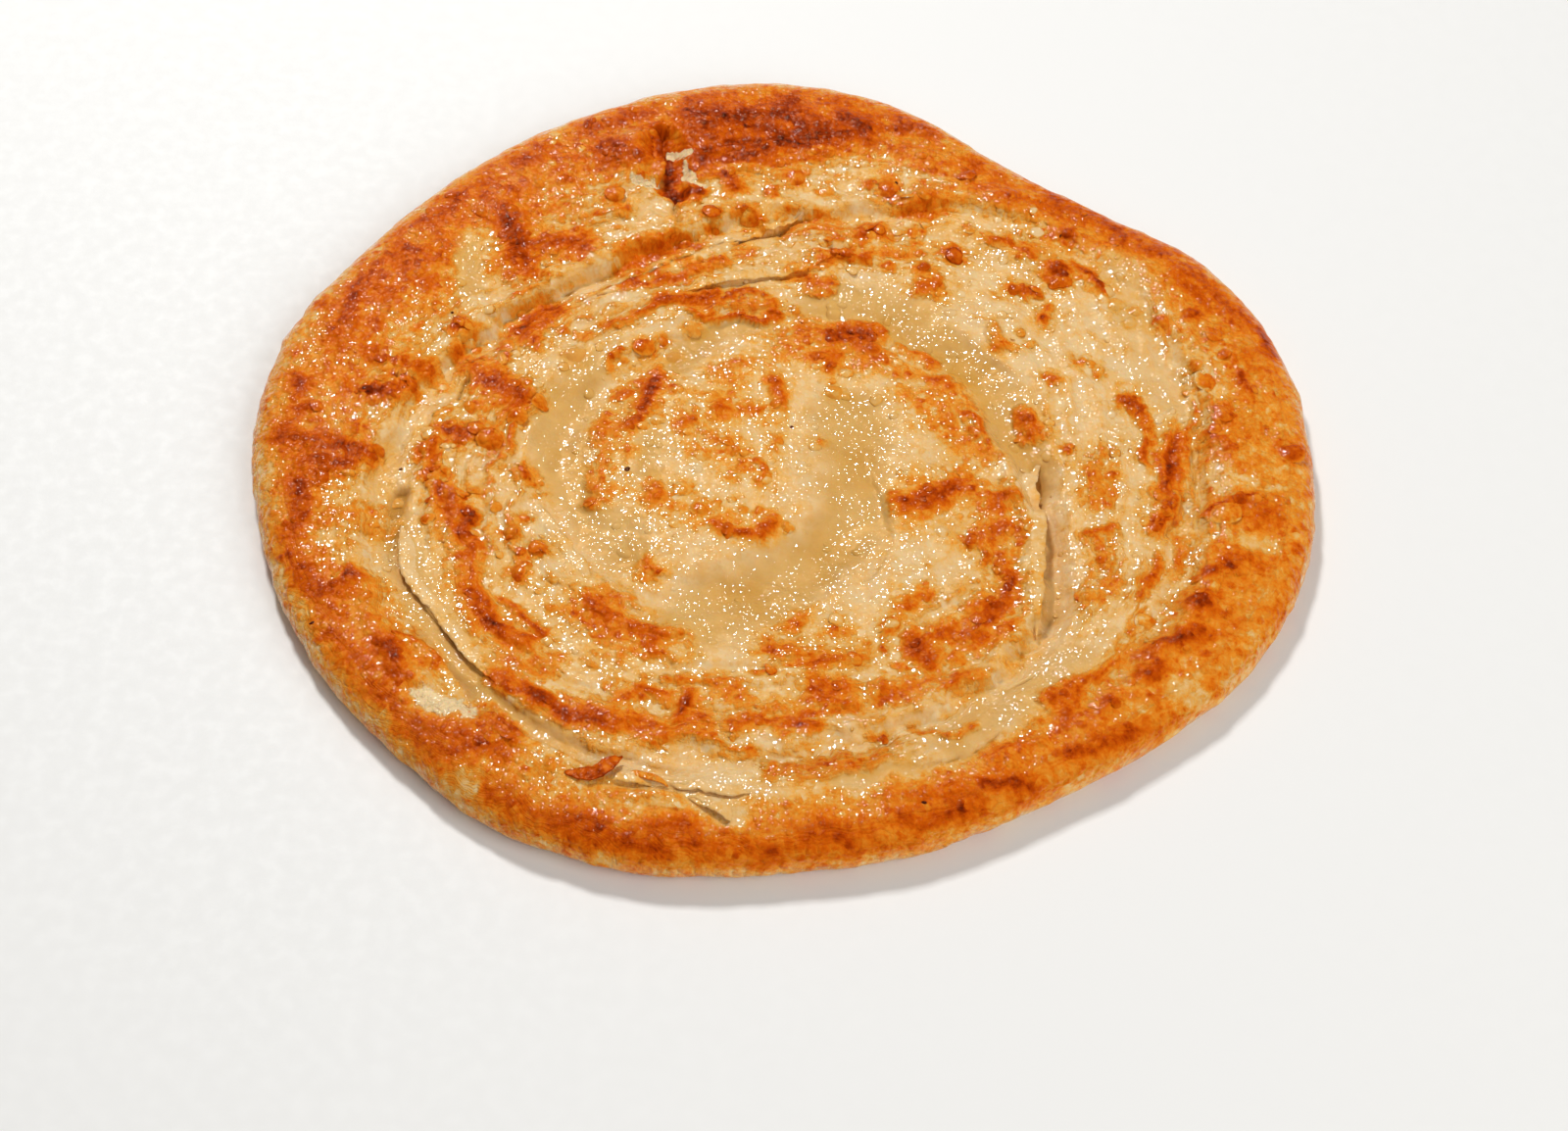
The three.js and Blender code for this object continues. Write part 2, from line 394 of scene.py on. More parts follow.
    (0.50, 5, (-11, 16.5), (-9, 16.5)),
    (0.70, 2, (-23, 10.5), (-21, 10.5)),
    (0.80, 4.5, (-24.5, 15), (-27, 8), (-29, 1.5)),
    (0.65, 2.5, (-20, 0.5), (-17, 3)),
    (0.60, 3, (-15, -1), (-10, -5)),
    (0.72, 2, (-7, -7), (-5, -10.5)),
    (0.50, 2.5, (-1, 0), (-2, -4)),
    (0.45, 3, (6, -1.5)),
    (0.72, 6, (-25, -16)),
    (0.72, 3, (-13, -22), (-9, -23.5), (-5, -24), (-3, -22)),
    (0.82, 6.5, (22, -17), (27, -14), (31, -11)),
    (0.95, 3, (31, -12.5)),
    (0.55, 4, (-34, 2), (-34, -8)),
    (0.45, 3, (-32, -10)),
    (0.72, 2.5, (-35, 25), (-30, 28), (-25, 31), (-20, 34)),
    (0.60, 2.5, (-30.5, 18.5), (-33, 15.5)),
)

# Wide golden stretches between the browned marks: how dark, how wide, and the line they follow.
GOLDEN = (
    (0.46, 17, (0, 25), (13, 22.5), (23.6, 16.5), (31, 8)),
    (0.44, 12, (31, 8), (35, -1), (38, -10), (38, -24)),
    (0.46, 11, (-25.7, 11.4), (-29.5, -0.3), (-33.3, -11.5)),
    (0.40, 12, (-10, 15), (-3, 9), (-13.8, 6.3), (-18, 0), (-10.6, -5), (-6, -8.8)),
    (0.38, 9, (-25, -16.5), (-15.5, -20.1), (-8.2, -22.5)),
    (0.48, 12, (40, -28), (39, -38), (34, -45), (25, -49)),
    (0.42, 9, (17, -59), (24, -57), (31, -56)),
    (0.38, 9, (-3, -47), (6, -50), (13, -50)),
    (0.36, 10, (-12, -60), (0, -61), (12, -60)),
    (0.38, 8, (-6, -74), (8, -75.5), (18, -73)),
    (0.42, 11, (-31, -62), (-14, -66)),
    (0.47, 10, (-55, -45), (-47, -57), (-38, -64), (-25, -67), (-12, -69)),
    (0.47, 12, (-35, -42), (-29, -46), (-22, -49)),
)

# Places where the dough stayed wet and pale: how fully, how wide, and the line they follow.
POOLS = (
    (1.0, 17, (12, 4), (13, -8), (11, -22), (3, -32), (-10, -40), (-16, -44)),
    (0.8, 9, (-25, -3), (-25, -9)),
    (0.9, 12, (-38, 15), (-42, 2), (-42, -8), (-36, -20), (-30, -28)),
    (0.9, 7, (-20, 18), (-15, 25), (-5, 30)),
    (1.0, 13, (8, 35), (18, 33), (28, 28), (36, 18), (42, 10), (44, 0)),
    (0.35, 10, (65, 44), (68, 25), (72, 12)),
    (0.8, 5, (47, -3), (47, -20), (46, -40)),
    (0.8, 9, (-69.5, -27), (-66, -37), (-61, -47), (-55, -57), (-48, -66)),
    (0.5, 7, (-48, -66), (-38, -73)),
    (0.35, 6, (-72, -5), (-74, -15), (-70, -25)),
    (0.7, 5, (10, -79), (20, -75)),
    (0.6, 6, (-62, 44), (-61, 33)),
    (0.7, 10, (28, -70), (40, -60), (50, -50)),
)

# White crumb where the crust has torn or flaked away.
CRUMBS = (
    (1.0, 2.0, (-23.4, 74.6), (-21.6, 73.8), (-19.8, 73.6)),
    (0.9, 1.6, (-20.2, 71.6), (-19.9, 69)),
    (1.0, 2.2, (-20.2, 68.2), (-18.8, 66.4), (-16.8, 65)),
    (1.0, 2.2, (-30.6, 65.4), (-28, 64.6), (-26.4, 64.8)),
    (0.9, 5, (-62.4, -63.8), (-58.6, -66), (-55, -66.6)),
)

# Places on the browned crust that stayed pale.
PALE_SPOTS = (
    (0.85, 6, (-15, -83.2), (-9, -86)),
    (0.5, 7, (-42, -79), (-31, -82), (-21, -85)),
    (0.8, 4, (67.5, -56), (73, -58.7)),
    (0.8, 3.6, (83.5, -23), (88.5, -24.3)),
    (0.8, 4, (-54, -81)),
    (0.7, 8, (-29, 61), (-27, 58)),
    (0.7, 7, (-62.6, -61.5), (-56.5, -64.5)),
    (0.6, 5, (77.5, -7.5), (84, -9)),
    (0.5, 4, (78, 24), (82, 12)),
)

# Open cracks, painted with shade inside: how deep, how wide, and the line they follow.
CRACKS = (
    (1.4, 1.0, (-59.9, 11.6), (-61.2, 9), (-61.7, 6.4)),
    (1.3, 3.2, (-70.2, -18), (-70.8, -22.2)),
    (0.6, 0.9, (-71.4, -23), (-71.6, -25.2), (-72.2, -28.2)),
    (1.2, 0.9, (-22.2, 61.5), (-22.6, 58.8), (-21.5, 54.6)),
    (0.6, 0.8, (-73, 9.7), (-70, 10.2)),
    (1.1, 2.8, (46.3, -4.6), (46.9, -9), (46.2, -14)),
)
TEAR = (1.9, 6.4, (-24.8, 76.4), (-23.6, 72), (-22.8, 67), (-22.4, 63.4))

# Large bubbles that lift the crust: how high, how wide, and the line they follow.
MOUNDS = (
    (1.6, 11, (-31.5, 70), (-31, 74)),
    (0.8, 6, (-34, 60), (-35, 58)),
)

# Edges of layers that stand above the dough on the right of their line, with shade painted on that dough:
# how far it drops, how far it takes to rise again, how far the edge hangs over it, and the line.
STEPS = (
    # The right.
    (
        1.2, 7, 0.7,
        (44.4, -45.7), (44.9, -36), (45.3, -28), (46, -21), (46.2, -14), (45.4, -7.5), (48.3, -1.9),
    ),
    (0.45, 5, 0.4, (68.5, -22.8), (72.3, -12.9), (75.4, -5.3), (74.7, 1.4)),
    (0.4, 3, 0.4, (36, -58), (40.6, -55.5), (43.2, -53.7), (46.8, -52.3)),
    # The back.
    (1.7, 3.4, 0.5, (-37.5, 35.3), (-28.4, 40.8), (-19.8, 46.3), (-13.3, 50.2), (-5.4, 54.2), (3.1, 58.4)),
    (0.7, 1.6, 0.2, (-9.6, 51), (-14.8, 47.2), (-22.5, 42.8), (-28.4, 39.4), (-36.8, 34.4)),
    (0.5, 4, 0.3, (-19.5, 35.7), (-13.1, 38.9), (-6.3, 40.6), (0.4, 42.3), (9.1, 46.5)),
    (1.4, 5, 0.5, (-25.8, 64.4), (-25.6, 69.5), (-26, 75), (-27.6, 79)),
    # The front.
    (0.4, 3, 0.4, (21.2, -75.6), (27.1, -73.6), (30.9, -72), (33.1, -70.7), (35.4, -68.8), (37.5, -66.2)),
    (1.0, 3, 0.5, (-33.7, -78.2), (-38.8, -76), (-42.7, -74.1), (-47, -71.6), (-50, -68.3), (-52.7, -65.1)),
    (0.35, 4, 0.2, (-50.1, -61.4), (-45.1, -65.8), (-37, -71.3), (-26.1, -74.3), (-13.9, -77.3)),
    (0.6, 2.5, 0.3, (-32, -80.4), (-26.5, -80.2), (-21, -80.5), (-15.8, -81), (-11, -82), (-4, -82)),
    (0.3, 2, 0.4, (-24.2, -84.8), (-21.1, -85.3), (-16.9, -85.7)),
    (0.5, 4, 0.5, (-17, -82.2), (-15.4, -83.3), (-8.8, -88)),
    # The left.
    (0.8, 5, 0.4, (-69.5, -24), (-68.7, -30.7), (-67.1, -37.7), (-61.5, -45.6), (-55.5, -54.2), (-50, -61)),
    (0.9, 4, 0.4, (-54.5, -65), (-57.4, -60.8), (-59.6, -57.3), (-63.7, -52.4), (-69, -50)),
    (0.5, 4, 0.3, (-34.6, -36.5), (-37.4, -30.8), (-40.3, -26.8), (-42.7, -23), (-45.5, -17.8)),
    # The coil's middle.
    (0.3, 4, 0.2, (13.6, -1.6), (17.5, -13.6), (18.8, -20.3), (19.4, -26.1), (15.9, -33), (11.8, -36.5)),
    (0.2, 3, 0.2, (1.3, -37.5), (-1.4, -35.1), (-4.9, -33.9), (-7.9, -33.2)),
)

# The layer on such an edge that drops this far lies this wide on the crust before it is one with it.
FLAP_DROP = 0.5
FLAP_WIDTH = 2.6

# Loose flakes: how dark, how wide, how far the tip lifts, and the line from root to tip.
FLAKES = (
    (0.78, 2.8, 1.6, (-37.6, -79.3), (-32.5, -79.6), (-27.9, -75.4)),
    (0.48, 1.3, 0.4, (-27.3, -78.6), (-23.4, -79.7), (-20.1, -81.2)),
)

# Blisters that stand out one by one: x, y, diameter and how dark.
BLISTERS = (
    # Left and middle.
    (-62.5, 24.2, 2.6, 0.60), (-60.5, 23.8, 2.4, 0.55), (-61.6, 21.8, 2.8, 0.60), (-59, 20, 2.5, 0.50),
    (-53, 20.5, 4.5, 0.65), (-40, 18, 4.5, 0.50),
    (-42, 15, 2.5, 0.40), (-63, 2, 5.0, 0.40), (-66.5, -2.5, 3.2, 0.20), (-46, 5.5, 3.6, 0.60),
    (-50, 1.5, 4.0, 0.65), (-55, -5, 5.0, 0.75), (-57.5, -1.5, 3.6, 0.60), (-49, 10, 3.0, 0.65),
    (-50, -26, 3.4, 0.70), (-47.5, -22.5, 3.0, 0.55), (-44, -29, 3.0, 0.60), (-36, -17, 3.0, 0.60),
    (-30.5, 9.5, 4.0, 0.75), (-24, 2.5, 3.4, 0.45), (-27, 21, 4.2, 0.70), (-21.5, 20, 3.2, 0.60),
    (-18, 26.5, 3.6, 0.50), (-23.5, 23.5, 2.5, 0.60), (-19, -14, 4.4, 0.35), (-15.5, -19, 4.0, 0.50),
    (-13, -18, 2.8, 0.40), (-20, -22.5, 2.6, 0.30), (-14, 3.5, 2.4, 0.45), (-1, 26.5, 2.6, 0.60),
    (9, 11, 3.6, 0.45), (11.2, 10.3, 2.2, 0.40), (17, 9.5, 2.6, 0.20), (8.5, 14, 1.8, 0.40),
    (16.5, 23, 3.6, 0.75), (18.5, 20.3, 3.4, 0.70), (1.5, 32.5, 2.2, 0.50), (9, 32.3, 3.2, 0.35),
    (19.5, 31, 1.8, 0.40), (28, -22.5, 3.0, 0.20), (0, -22, 2.6, 0.45), (-8, -19, 2.0, 0.50),
    (-5, -19, 2.0, 0.50), (-10, -16.5, 2.0, 0.35), (21, -8.5, 1.6, 0.40), (33, -8.5, 3.2, 0.60),
    (30, 3.8, 2.4, 0.65), (35, 2.5, 3.0, 0.70),
    # Front and right.
    (-48, -35, 4.0, 0.65), (-42, -36.5, 2.6, 0.50), (-44, -39, 1.8, 0.50), (10, -41, 3.2, 0.20),
    (9, -43, 3.0, 0.25), (12, -52, 3.0, 0.50), (-3, -55, 2.6, 0.45), (2.5, -58, 3.2, 0.50),
    (30, -51, 5.0, 0.50), (18.5, -44, 3.0, 0.30), (-44, -80, 3.0, 0.50), (-40, -78, 2.8, 0.50),
    (-2.5, -76, 3.0, 0.60), (54, -36, 4.5, 0.40), (53, -38.5, 2.5, 0.40), (35, -36.5, 3.0, 0.55),
    (60, -7.5, 3.0, 0.70), (57.5, -7, 2.8, 0.60), (58, -11, 3.0, 0.55), (57, -27, 2.4, 0.50),
    (80, 15.5, 5.5, 0.70), (78, 19.5, 3.2, 0.50), (83.5, 22.5, 3.0, 0.80), (94.5, -1.5, 5.0, 0.90),
    (80, -17, 6.5, 0.55), (76.5, 13.5, 2.5, 0.40), (82, 7, 4.0, 0.70), (46.5, 25.2, 2.4, 0.40),
    (59.5, 18.5, 3.0, 0.45), (57, 22, 2.5, 0.40), (45, 28, 1.8, 0.40), (72.5, 31, 3.5, 0.65),
    (64, -42, 4.0, 0.45),
    # Back.
    (63, 39.5, 3.4, 0.30), (64, 36, 3.8, 0.40), (68, 34.5, 3.0, 0.45), (65, 43, 2.4, 0.35),
    (66.5, 31.5, 3.0, 0.30), (49.5, 54.5, 3.2, 0.05), (46.5, 55, 2.4, 0.40), (42, 58, 2.0, 0.05),
    (49, 59.5, 2.4, 0.10), (36, 69, 3.8, 0.80), (36, 55, 3.0, 0.50), (75, 41.5, 2.4, 0.60),
    (2, 68, 4.6, 0.70), (8, 65, 4.4, 0.50), (-3, 63.5, 3.0, 0.65), (-15, 57, 3.8, 0.75),
    (-8, 57, 5.0, 0.60), (8, 51, 2.8, 0.50), (16, 55, 2.8, 0.60), (18.4, 54.2, 2.6, 0.65),
    (17, 52.6, 2.4, 0.55), (25, 54, 2.8, 0.70),
    (27.5, 56.5, 2.8, 0.40), (20.5, 66, 4.5, 0.75), (20, 44.5, 2.8, 0.65), (22.5, 48, 2.0, 0.65),
    (26, 48.5, 2.2, 0.65), (33, 48, 4.0, 0.80), (12.5, 43, 2.4, 0.30), (7, 44, 2.0, 0.50),
    (24, 63, 3.0, 0.60), (27.5, 63, 3.0, 0.60), (-20, 50, 2.4, 0.60), (-41.5, 72.5, 2.4, 0.50),
    (-47, 68, 2.0, 0.35), (-40, 64, 2.0, 0.40), (-34, 60, 4.0, 0.75), (-47, 74.5, 1.8, 0.40),
)

# The browned foot of each: how dark, how wide, and where.
BLISTER_FEET = tuple((0.62 * tone, 1.3 * diameter, (x, y)) for x, y, diameter, tone in BLISTERS)

# The share of its given tone that a blister has, how far out fine ones are strewn, how many places are tried
# for each, their seed, and the width below which a blister has fewer faces.
BLISTER_SHADE = 0.92
STREWN_REACH = 93
STREWN_TRIES = 12
STREWN_SEED = 21
FINE_BELOW = 2.6

# How far a blister sinks in by its width, over what span the crust under it is averaged, how much it may be
# drawn out, and how far its outline wanders, in lumps of what size.
BLISTER_SINK = 0.02
BLISTER_SPAN = 0.8
BLISTER_STRETCH = (0.88, 1.14)
WOBBLE_REACH = 1.6
WOBBLE_SIZE = 2.5

# Burnt specks: x, y and diameter, and how dark they all are.
SPECKS = (
    (-29.5, -9.8, 1.2), (1, 2.2, 0.7), (-64, 27, 0.6), (-70.5, -12, 0.7), (-70.3, -29.5, 0.7),
    (-83, -49, 0.8), (23, -83, 0.8), (22, 67, 0.9), (54, 53, 0.9),
)
SPECK_TONE = 2.0

# The camera of the photograph, which looks down at the round from the front.
CAMERA_PLACE = (-22.4, -364.1, 419.4)
CAMERA_AIM = (-0.2, -26.4, 0)
CAMERA_ROLL = 4.86
CAMERA_LENS = 67.94
SENSOR_WIDTH = 36

# The lights and half the floor's side, in metres, and the colour of the light all round.
KEY_PLACE = (-0.24, 0.6, 0.77)
KEY_SIZE = 0.15
FILL_PLACE = (0.6, -0.6, 0.6)
FILL_SIZE = 0.8
FLOOR_REACH = 3
SKY_COLOUR = (1, 0.99, 0.97, 1)

# The crust's mesh: rings on the top, the side and the underside, and vertices round them.
TOP_RINGS = 150
RING_GROWTH = 6
SIDE_RINGS = 14
UNDERSIDE_RINGS = 24
UNDERSIDE_COUNT = 300

# A surface's gap is how much shade is painted in cracks and past the layers' edges.
Surface = namedtuple("Surface", "height toast pool crumb gap across flaky")
Marks = namedtuple(
    "Marks", "browned halo golden foot pool crumb pale rim_gap cracks tear mound sink shade white"
)
Dough = namedtuple("Dough", "angle inset turn layer flaky fold lump grain mottle")
Bubbles = namedtuple("Bubbles", "packed apart tones")
Patterns = namedtuple("Patterns", "broad coarse fine grain streak bubbles pimples pool flaky dome")


def smoothstep(low, high, value):
    t = np.clip((value - low) / (high - low), 0, 1)
    return t * t * (3 - 2 * t)


def mix(first, second, share):
    return first + (second - first) * share


def bell(distance, half_width):
    return np.exp(-((distance / half_width) ** 2))


def through(values, place, closed=False):
    """A smooth value through evenly spaced ones, at places in steps; a closed row comes round again."""
    values = np.asarray(values, float)
    first = np.floor(place).astype(int)
    t = place - first
    rows = [first + shift for shift in (-1, 0, 1, 2)]
    rows = [row % len(values) if closed else np.clip(row, 0, len(values) - 1) for row in rows]
    before, start, end, after = (values[row] for row in rows)
    rise = (end - before) / 2
    leave = (after - start) / 2
    turn = 2 * (start - end) + rise + leave
    return start + t * (rise + t * (end - start - rise - turn + t * turn))


class Noise:
    """Smooth lattice noise between about -1 and 1, the same on every run."""

    def __init__(self, seed):
        dice = np.random.default_rng(seed)
        self.order = dice.permutation(256)
        slopes = dice.normal(size=(256, 3))
        self.slopes = slopes / np.linalg.norm(slopes, axis=1, keepdims=True)

    def at(self, x, y, z=0.5):
        """Noise at points in lattice cells of unit size."""
        points = np.stack(np.broadcast_arrays(x, y, z), axis=-1).astype(float)
        cell = np.floor(points).astype(int)
        part = points - cell
        ease = part**3 * (part * (part * 6 - 15) + 10)
        total = np.zeros(points.shape[:-1])
        for corner in itertools.product((0, 1), repeat=3):
            i, j, k = np.moveaxis(cell + corner, -1, 0)
            pick = self.order[(self.order[(self.order[i % 256] + j) % 256] + k) % 256]
            slope = np.sum(self.slopes[pick] * (part - corner), axis=-1)
            weight = np.prod(np.where(corner, ease, 1 - ease), axis=-1)
            total += weight * slope
        return 1.6 * total

    def rough(self, x, y, size, octaves):
        """Noise of lumps of that size with finer ones on them."""
        total = 0
        for octave in range(octaves):
            finer = 2.1**octave
            total = total + self.at(x * finer / size, y * finer / size, octave + 0.5) / 2**octave
        return total


LUMPS = Noise(11)
WARP = Noise(12)
FLAKY = Noise(13)
MOTTLE = Noise(14)
EDGE = Noise(15)


def outline_radius(angle):
    return through(OUTLINE_RADII, angle / TAU * len(OUTLINE_RADII), closed=True)


def outline_middle():
    """The middle of the outline's box, which is where the frame's origin lies."""
    angle = np.linspace(0, TAU, 1440, endpoint=False)
    radius = outline_radius(angle)
    x = radius * np.cos(angle)
    y = radius * np.sin(angle)
    return (x.min() + x.max()) / 2, (y.min() + y.max()) / 2


MIDDLE = outline_middle()


def to_frame(x, y, z):
    """Points in metres in the frame."""
    return np.stack(((x - MIDDLE[0]) * MM, (y - MIDDLE[1]) * MM, z * MM), axis=-1)


def inset_at(x, y):
    """How far a place lies inside the edge, on a round of the mean radius."""
    return MEAN_RADIUS * (1 - np.hypot(x, y) / outline_radius(np.arctan2(y, x)))


def coil_place(x, y):
    """Distance from the coil's middle, and degrees clockwise from the front."""
    dx = x - COIL_MIDDLE[0]
    dy = y - COIL_MIDDLE[1]
    return np.hypot(dx, dy), np.degrees(np.arctan2(-dx, -dy)) % 360


def rope_turn(x, y):
    """How many turns along and across the coiled rope a place lies, without a jump anywhere."""
    radius, clockwise = coil_place(x, y)
    clockwise = np.where(clockwise > 360 + COIL_START, clockwise - 360, clockwise)
    radii = [fold.radius for fold in FOLDS] + list(TAIL_RADII)
    inner = np.zeros_like(radius)
    turn = np.zeros_like(radius)
    for lap in range(TURNS):
        outer = through(radii, (clockwise + 360 * lap - COIL_START) / COIL_STEP)
        share = (radius - inner) / np.maximum(outer - inner, 1)
        turn = np.where(radius >= inner, lap - 1 + share, turn)
        inner = outer
    return turn + clockwise / 360


def fold_relief(x, y):
    """How far the fold between the coil's turns sinks the crust, and its lips raise it."""
    radius, clockwise = coil_place(x, y)
    height = np.zeros_like(radius)
    last = len(FOLDS) - 1
    for lap in range(-1, TURNS):
        place = (clockwise + lap * 360 - COIL_START) / COIL_STEP
        shown = smoothstep(0, COIL_FADE, place) * (1 - smoothstep(last - COIL_FADE / 2, last, place))
        fold = Fold(*(through(column, place) for column in zip(*FOLDS)))
        outwards = radius - fold.radius
        steep = np.clip(np.sign(outwards) * fold.lean, -1, 1)
        width = fold.half_width * mix(1, np.where(steep > 0, 0.45, 1.8), np.abs(steep))
        height -= shown * fold.depth * bell(outwards, width)
        lip = np.sign(fold.lean) * (fold.half_width * 0.45 + 2.4)
        height += shown * 1.1 * np.abs(fold.lean) * bell(outwards - lip, 2.2)
    return height


def crust_height(inset):
    inner = mix(CREST_HEIGHT, DISH_HEIGHT, smoothstep(CREST_INSET, DISH_INSET, inset))
    crust = mix(SHOULDER_HEIGHT, inner, smoothstep(SHOULDER_INSET, CREST_INSET, inset))
    return crust + mix(0, MIDDLE_HEIGHT - DISH_HEIGHT, inset / MEAN_RADIUS)


def stroke_distance(x, y, spine):
    """Distance from places to a line of points."""
    spine = np.array(spine, float)
    nearest = np.hypot(x - spine[0, 0], y - spine[0, 1])
    for start, end in zip(spine[:-1], spine[1:]):
        along = end - start
        share = ((x - start[0]) * along[0] + (y - start[1]) * along[1]) / (along @ along)
        share = np.clip(share, 0, 1)
        gap = np.hypot(x - start[0] - share * along[0], y - start[1] - share * along[1])
        nearest = np.minimum(nearest, gap)
    return nearest


def near_line(x, y, spine, margin):
    """Which places lie in the box round a line."""
    low = np.min(spine, axis=0) - margin
    high = np.max(spine, axis=0) + margin
    return np.flatnonzero((x > low[0]) & (x < high[0]) & (y > low[1]) & (y < high[1]))


def brush(x, y, strokes, inner=0.5, outer=1.3, edge=1):
    """The strongest stroke over each place: its strength along its middle, a share of it near its sides."""
    field = np.zeros_like(x)
    for strength, width, *spine in strokes:
        near = near_line(x, y, spine, outer * width / 2)
        if near.size:
            reach = stroke_distance(x[near], y[near], spine) / (width / 2)
            core = mix(1, edge, smoothstep(0.2, inner, reach))
            shade = strength * core * (1 - smoothstep(inner, outer, reach))
            field[near] = np.maximum(field[near], shade)
    return field


def spine_points(spine, step):
    """Points along a smooth line, about a step apart, with the direction to the left at each."""
    spine = np.array(spine, float)
    length = np.sum(np.hypot(*np.diff(spine, axis=0).T))
    count = max(8, round(length / step))
    place = np.linspace(0, len(spine) - 1, count + 1)
    x = through(spine[:, 0], place)
    y = through(spine[:, 1], place)
    dx = np.gradient(x)
    dy = np.gradient(y)
    run = np.hypot(dx, dy)
    return x, y, -dy / run, dx / run, np.linspace(0, 1, count + 1)


def step_edges(x, y):
    """Goes along the layers' edges.

    Gives each edge's sizes, the places near it, how far past it they lie, how fully it shows there, and
    which way its right side lies.
    """
    for drop, fade, reach, *spine in STEPS:
        near = near_line(x, y, spine, fade)
        if near.size == 0:
            continue
        line_x, line_y, left_x, left_y, along = spine_points(spine, 0.5)
        nearest = np.argmin(np.hypot(x[near, None] - line_x, y[near, None] - line_y), axis=1)
        right = -np.stack((left_x, left_y))[:, nearest]
        past = (x[near] - line_x[nearest]) * right[0] + (y[near] - line_y[nearest]) * right[1]
        shown = smoothstep(0, 0.15, along) * (1 - smoothstep(0.85, 1, along))
        yield drop, fade, reach, near, past, shown[nearest], right


def step_relief(x, y):
    """How far the dough drops past the layers' edges, the shade painted there, and how white they are."""
    sink = np.zeros_like(x)
    shade = np.zeros_like(x)
    white = np.zeros_like(x)
    for drop, fade, _, near, past, shown, _ in step_edges(x, y):
        low = smoothstep(-0.15, 0.35, past)
        fall = shown * drop * (low * (1 - smoothstep(0.25 * fade, fade, past)) - 0.2 * bell(past + 1, 1))
        sink[near] = np.where(np.abs(fall) > np.abs(sink[near]), fall, sink[near])
        deep = shown * min(1, drop)
        shade[near] = np.maximum(shade[near], deep * low * (1 - smoothstep(0.4, 0.8 + 0.2 * fade, past)))
        white[near] = np.maximum(white[near], shown * (1 - low) * (1 - smoothstep(0.2, 0.9, -past)))
    return sink, shade, white


def overhang(x, y):
    """How far places slide out over the dough beside them, along x and y."""
    slide = np.zeros((2, x.size))
    for _, _, reach, near, past, shown, right in step_edges(x, y):
        out = reach * shown * (1 - smoothstep(0, 3, -past)) * (1 - smoothstep(-0.1, 0.3, past))
        slide[:, near] += out * right
    return slide


def shingles(turn, x, y):
    """Overlapping thin layers along the rope: 0 in the steps between them, up to 1 at their edges."""
    phase = turn * LAYERS_A_TURN + 0.7 * FLAKY.at(x / 15, y / 15) + 0.25 * FLAKY.at(x / 5, y / 5, 7.5)
    layer = np.floor(phase)
    across = phase - layer
    edge = np.where(across < 0.78, across / 0.78, (1 - across) / 0.22)
    strength = 0.5 + 0.9 * FLAKY.at(layer * 0.37, x / 22, y / 22)
    return smoothstep(0, 1, edge) * np.clip(strength, 0, 1.2)


def strayed(x, y, reach):
    """Places moved about by up to that reach, so that what is drawn there has uneven sides."""
    return x + reach * WARP.rough(x, y, 7, 4), y + reach * WARP.rough(x + 400, y, 7, 4)


def read_marks(x, y):
    """What is drawn on the crust: browned, wet, torn and open parts, and layers' edges with painted shade.
    """
    wx, wy = strayed(x, y, MARK_STRAY)
    edge_x, edge_y = strayed(x, y, EDGE_STRAY)
    browned = brush(wx, wy, BROWNED, 0.9, 1.45, 0.62)
    golden = brush(wx, wy, GOLDEN, 0.3, 1.4)
    dry = smoothstep(0.15, 0.45, np.maximum(browned, golden))
    sink, shade, white = step_relief(edge_x, edge_y)
    return Marks(
        browned=browned,
        halo=brush(wx, wy, BROWNED, 0.5, 3.2),
        golden=golden,
        foot=brush(x, y, BLISTER_FEET, 0.6, 1.6),
        pool=brush(wx, wy, POOLS, 0.4, 1.2) * (1 - dry),
        crumb=brush(edge_x, edge_y, CRUMBS, 0.4, 1.6),
        pale=brush(wx, wy, PALE_SPOTS, 0.5, 1.5),
        rim_gap=brush(wx, wy, RIM_GAPS, 0.5, 1.3),
        cracks=brush(edge_x, edge_y, CRACKS, 0.5, 1.25),
        tear=brush(wx, wy, [TEAR], 0.6, 1.2),
        mound=brush(wx, wy, MOUNDS, 0.25, 1.1),
        sink=sink,
        shade=shade,
        white=white,
    )


def read_dough(x, y, pool):
    """The dough itself at places: how far in it lies, its fold and thin layers, its lumps and its grain."""
    wx, wy = strayed(x, y, MARK_STRAY)
    inset = inset_at(x, y)
    turn = rope_turn(wx, wy)
    return Dough(
        angle=np.arctan2(y, x),
        inset=inset,
        turn=turn,
        layer=shingles(turn, x, y),
        flaky=smoothstep(8, 22, inset) * smoothstep(24, 44, coil_place(x, y)[0]) * (1 - 0.8 * pool),
        fold=smoothstep(6, 15, inset) * fold_relief(wx, wy),
        lump=LUMPS.rough(x, y, 8, 3),
        grain=LUMPS.rough(x + 200, y, 2.4, 2),
        mottle=MOTTLE.rough(x, y, 6, 4),
    )


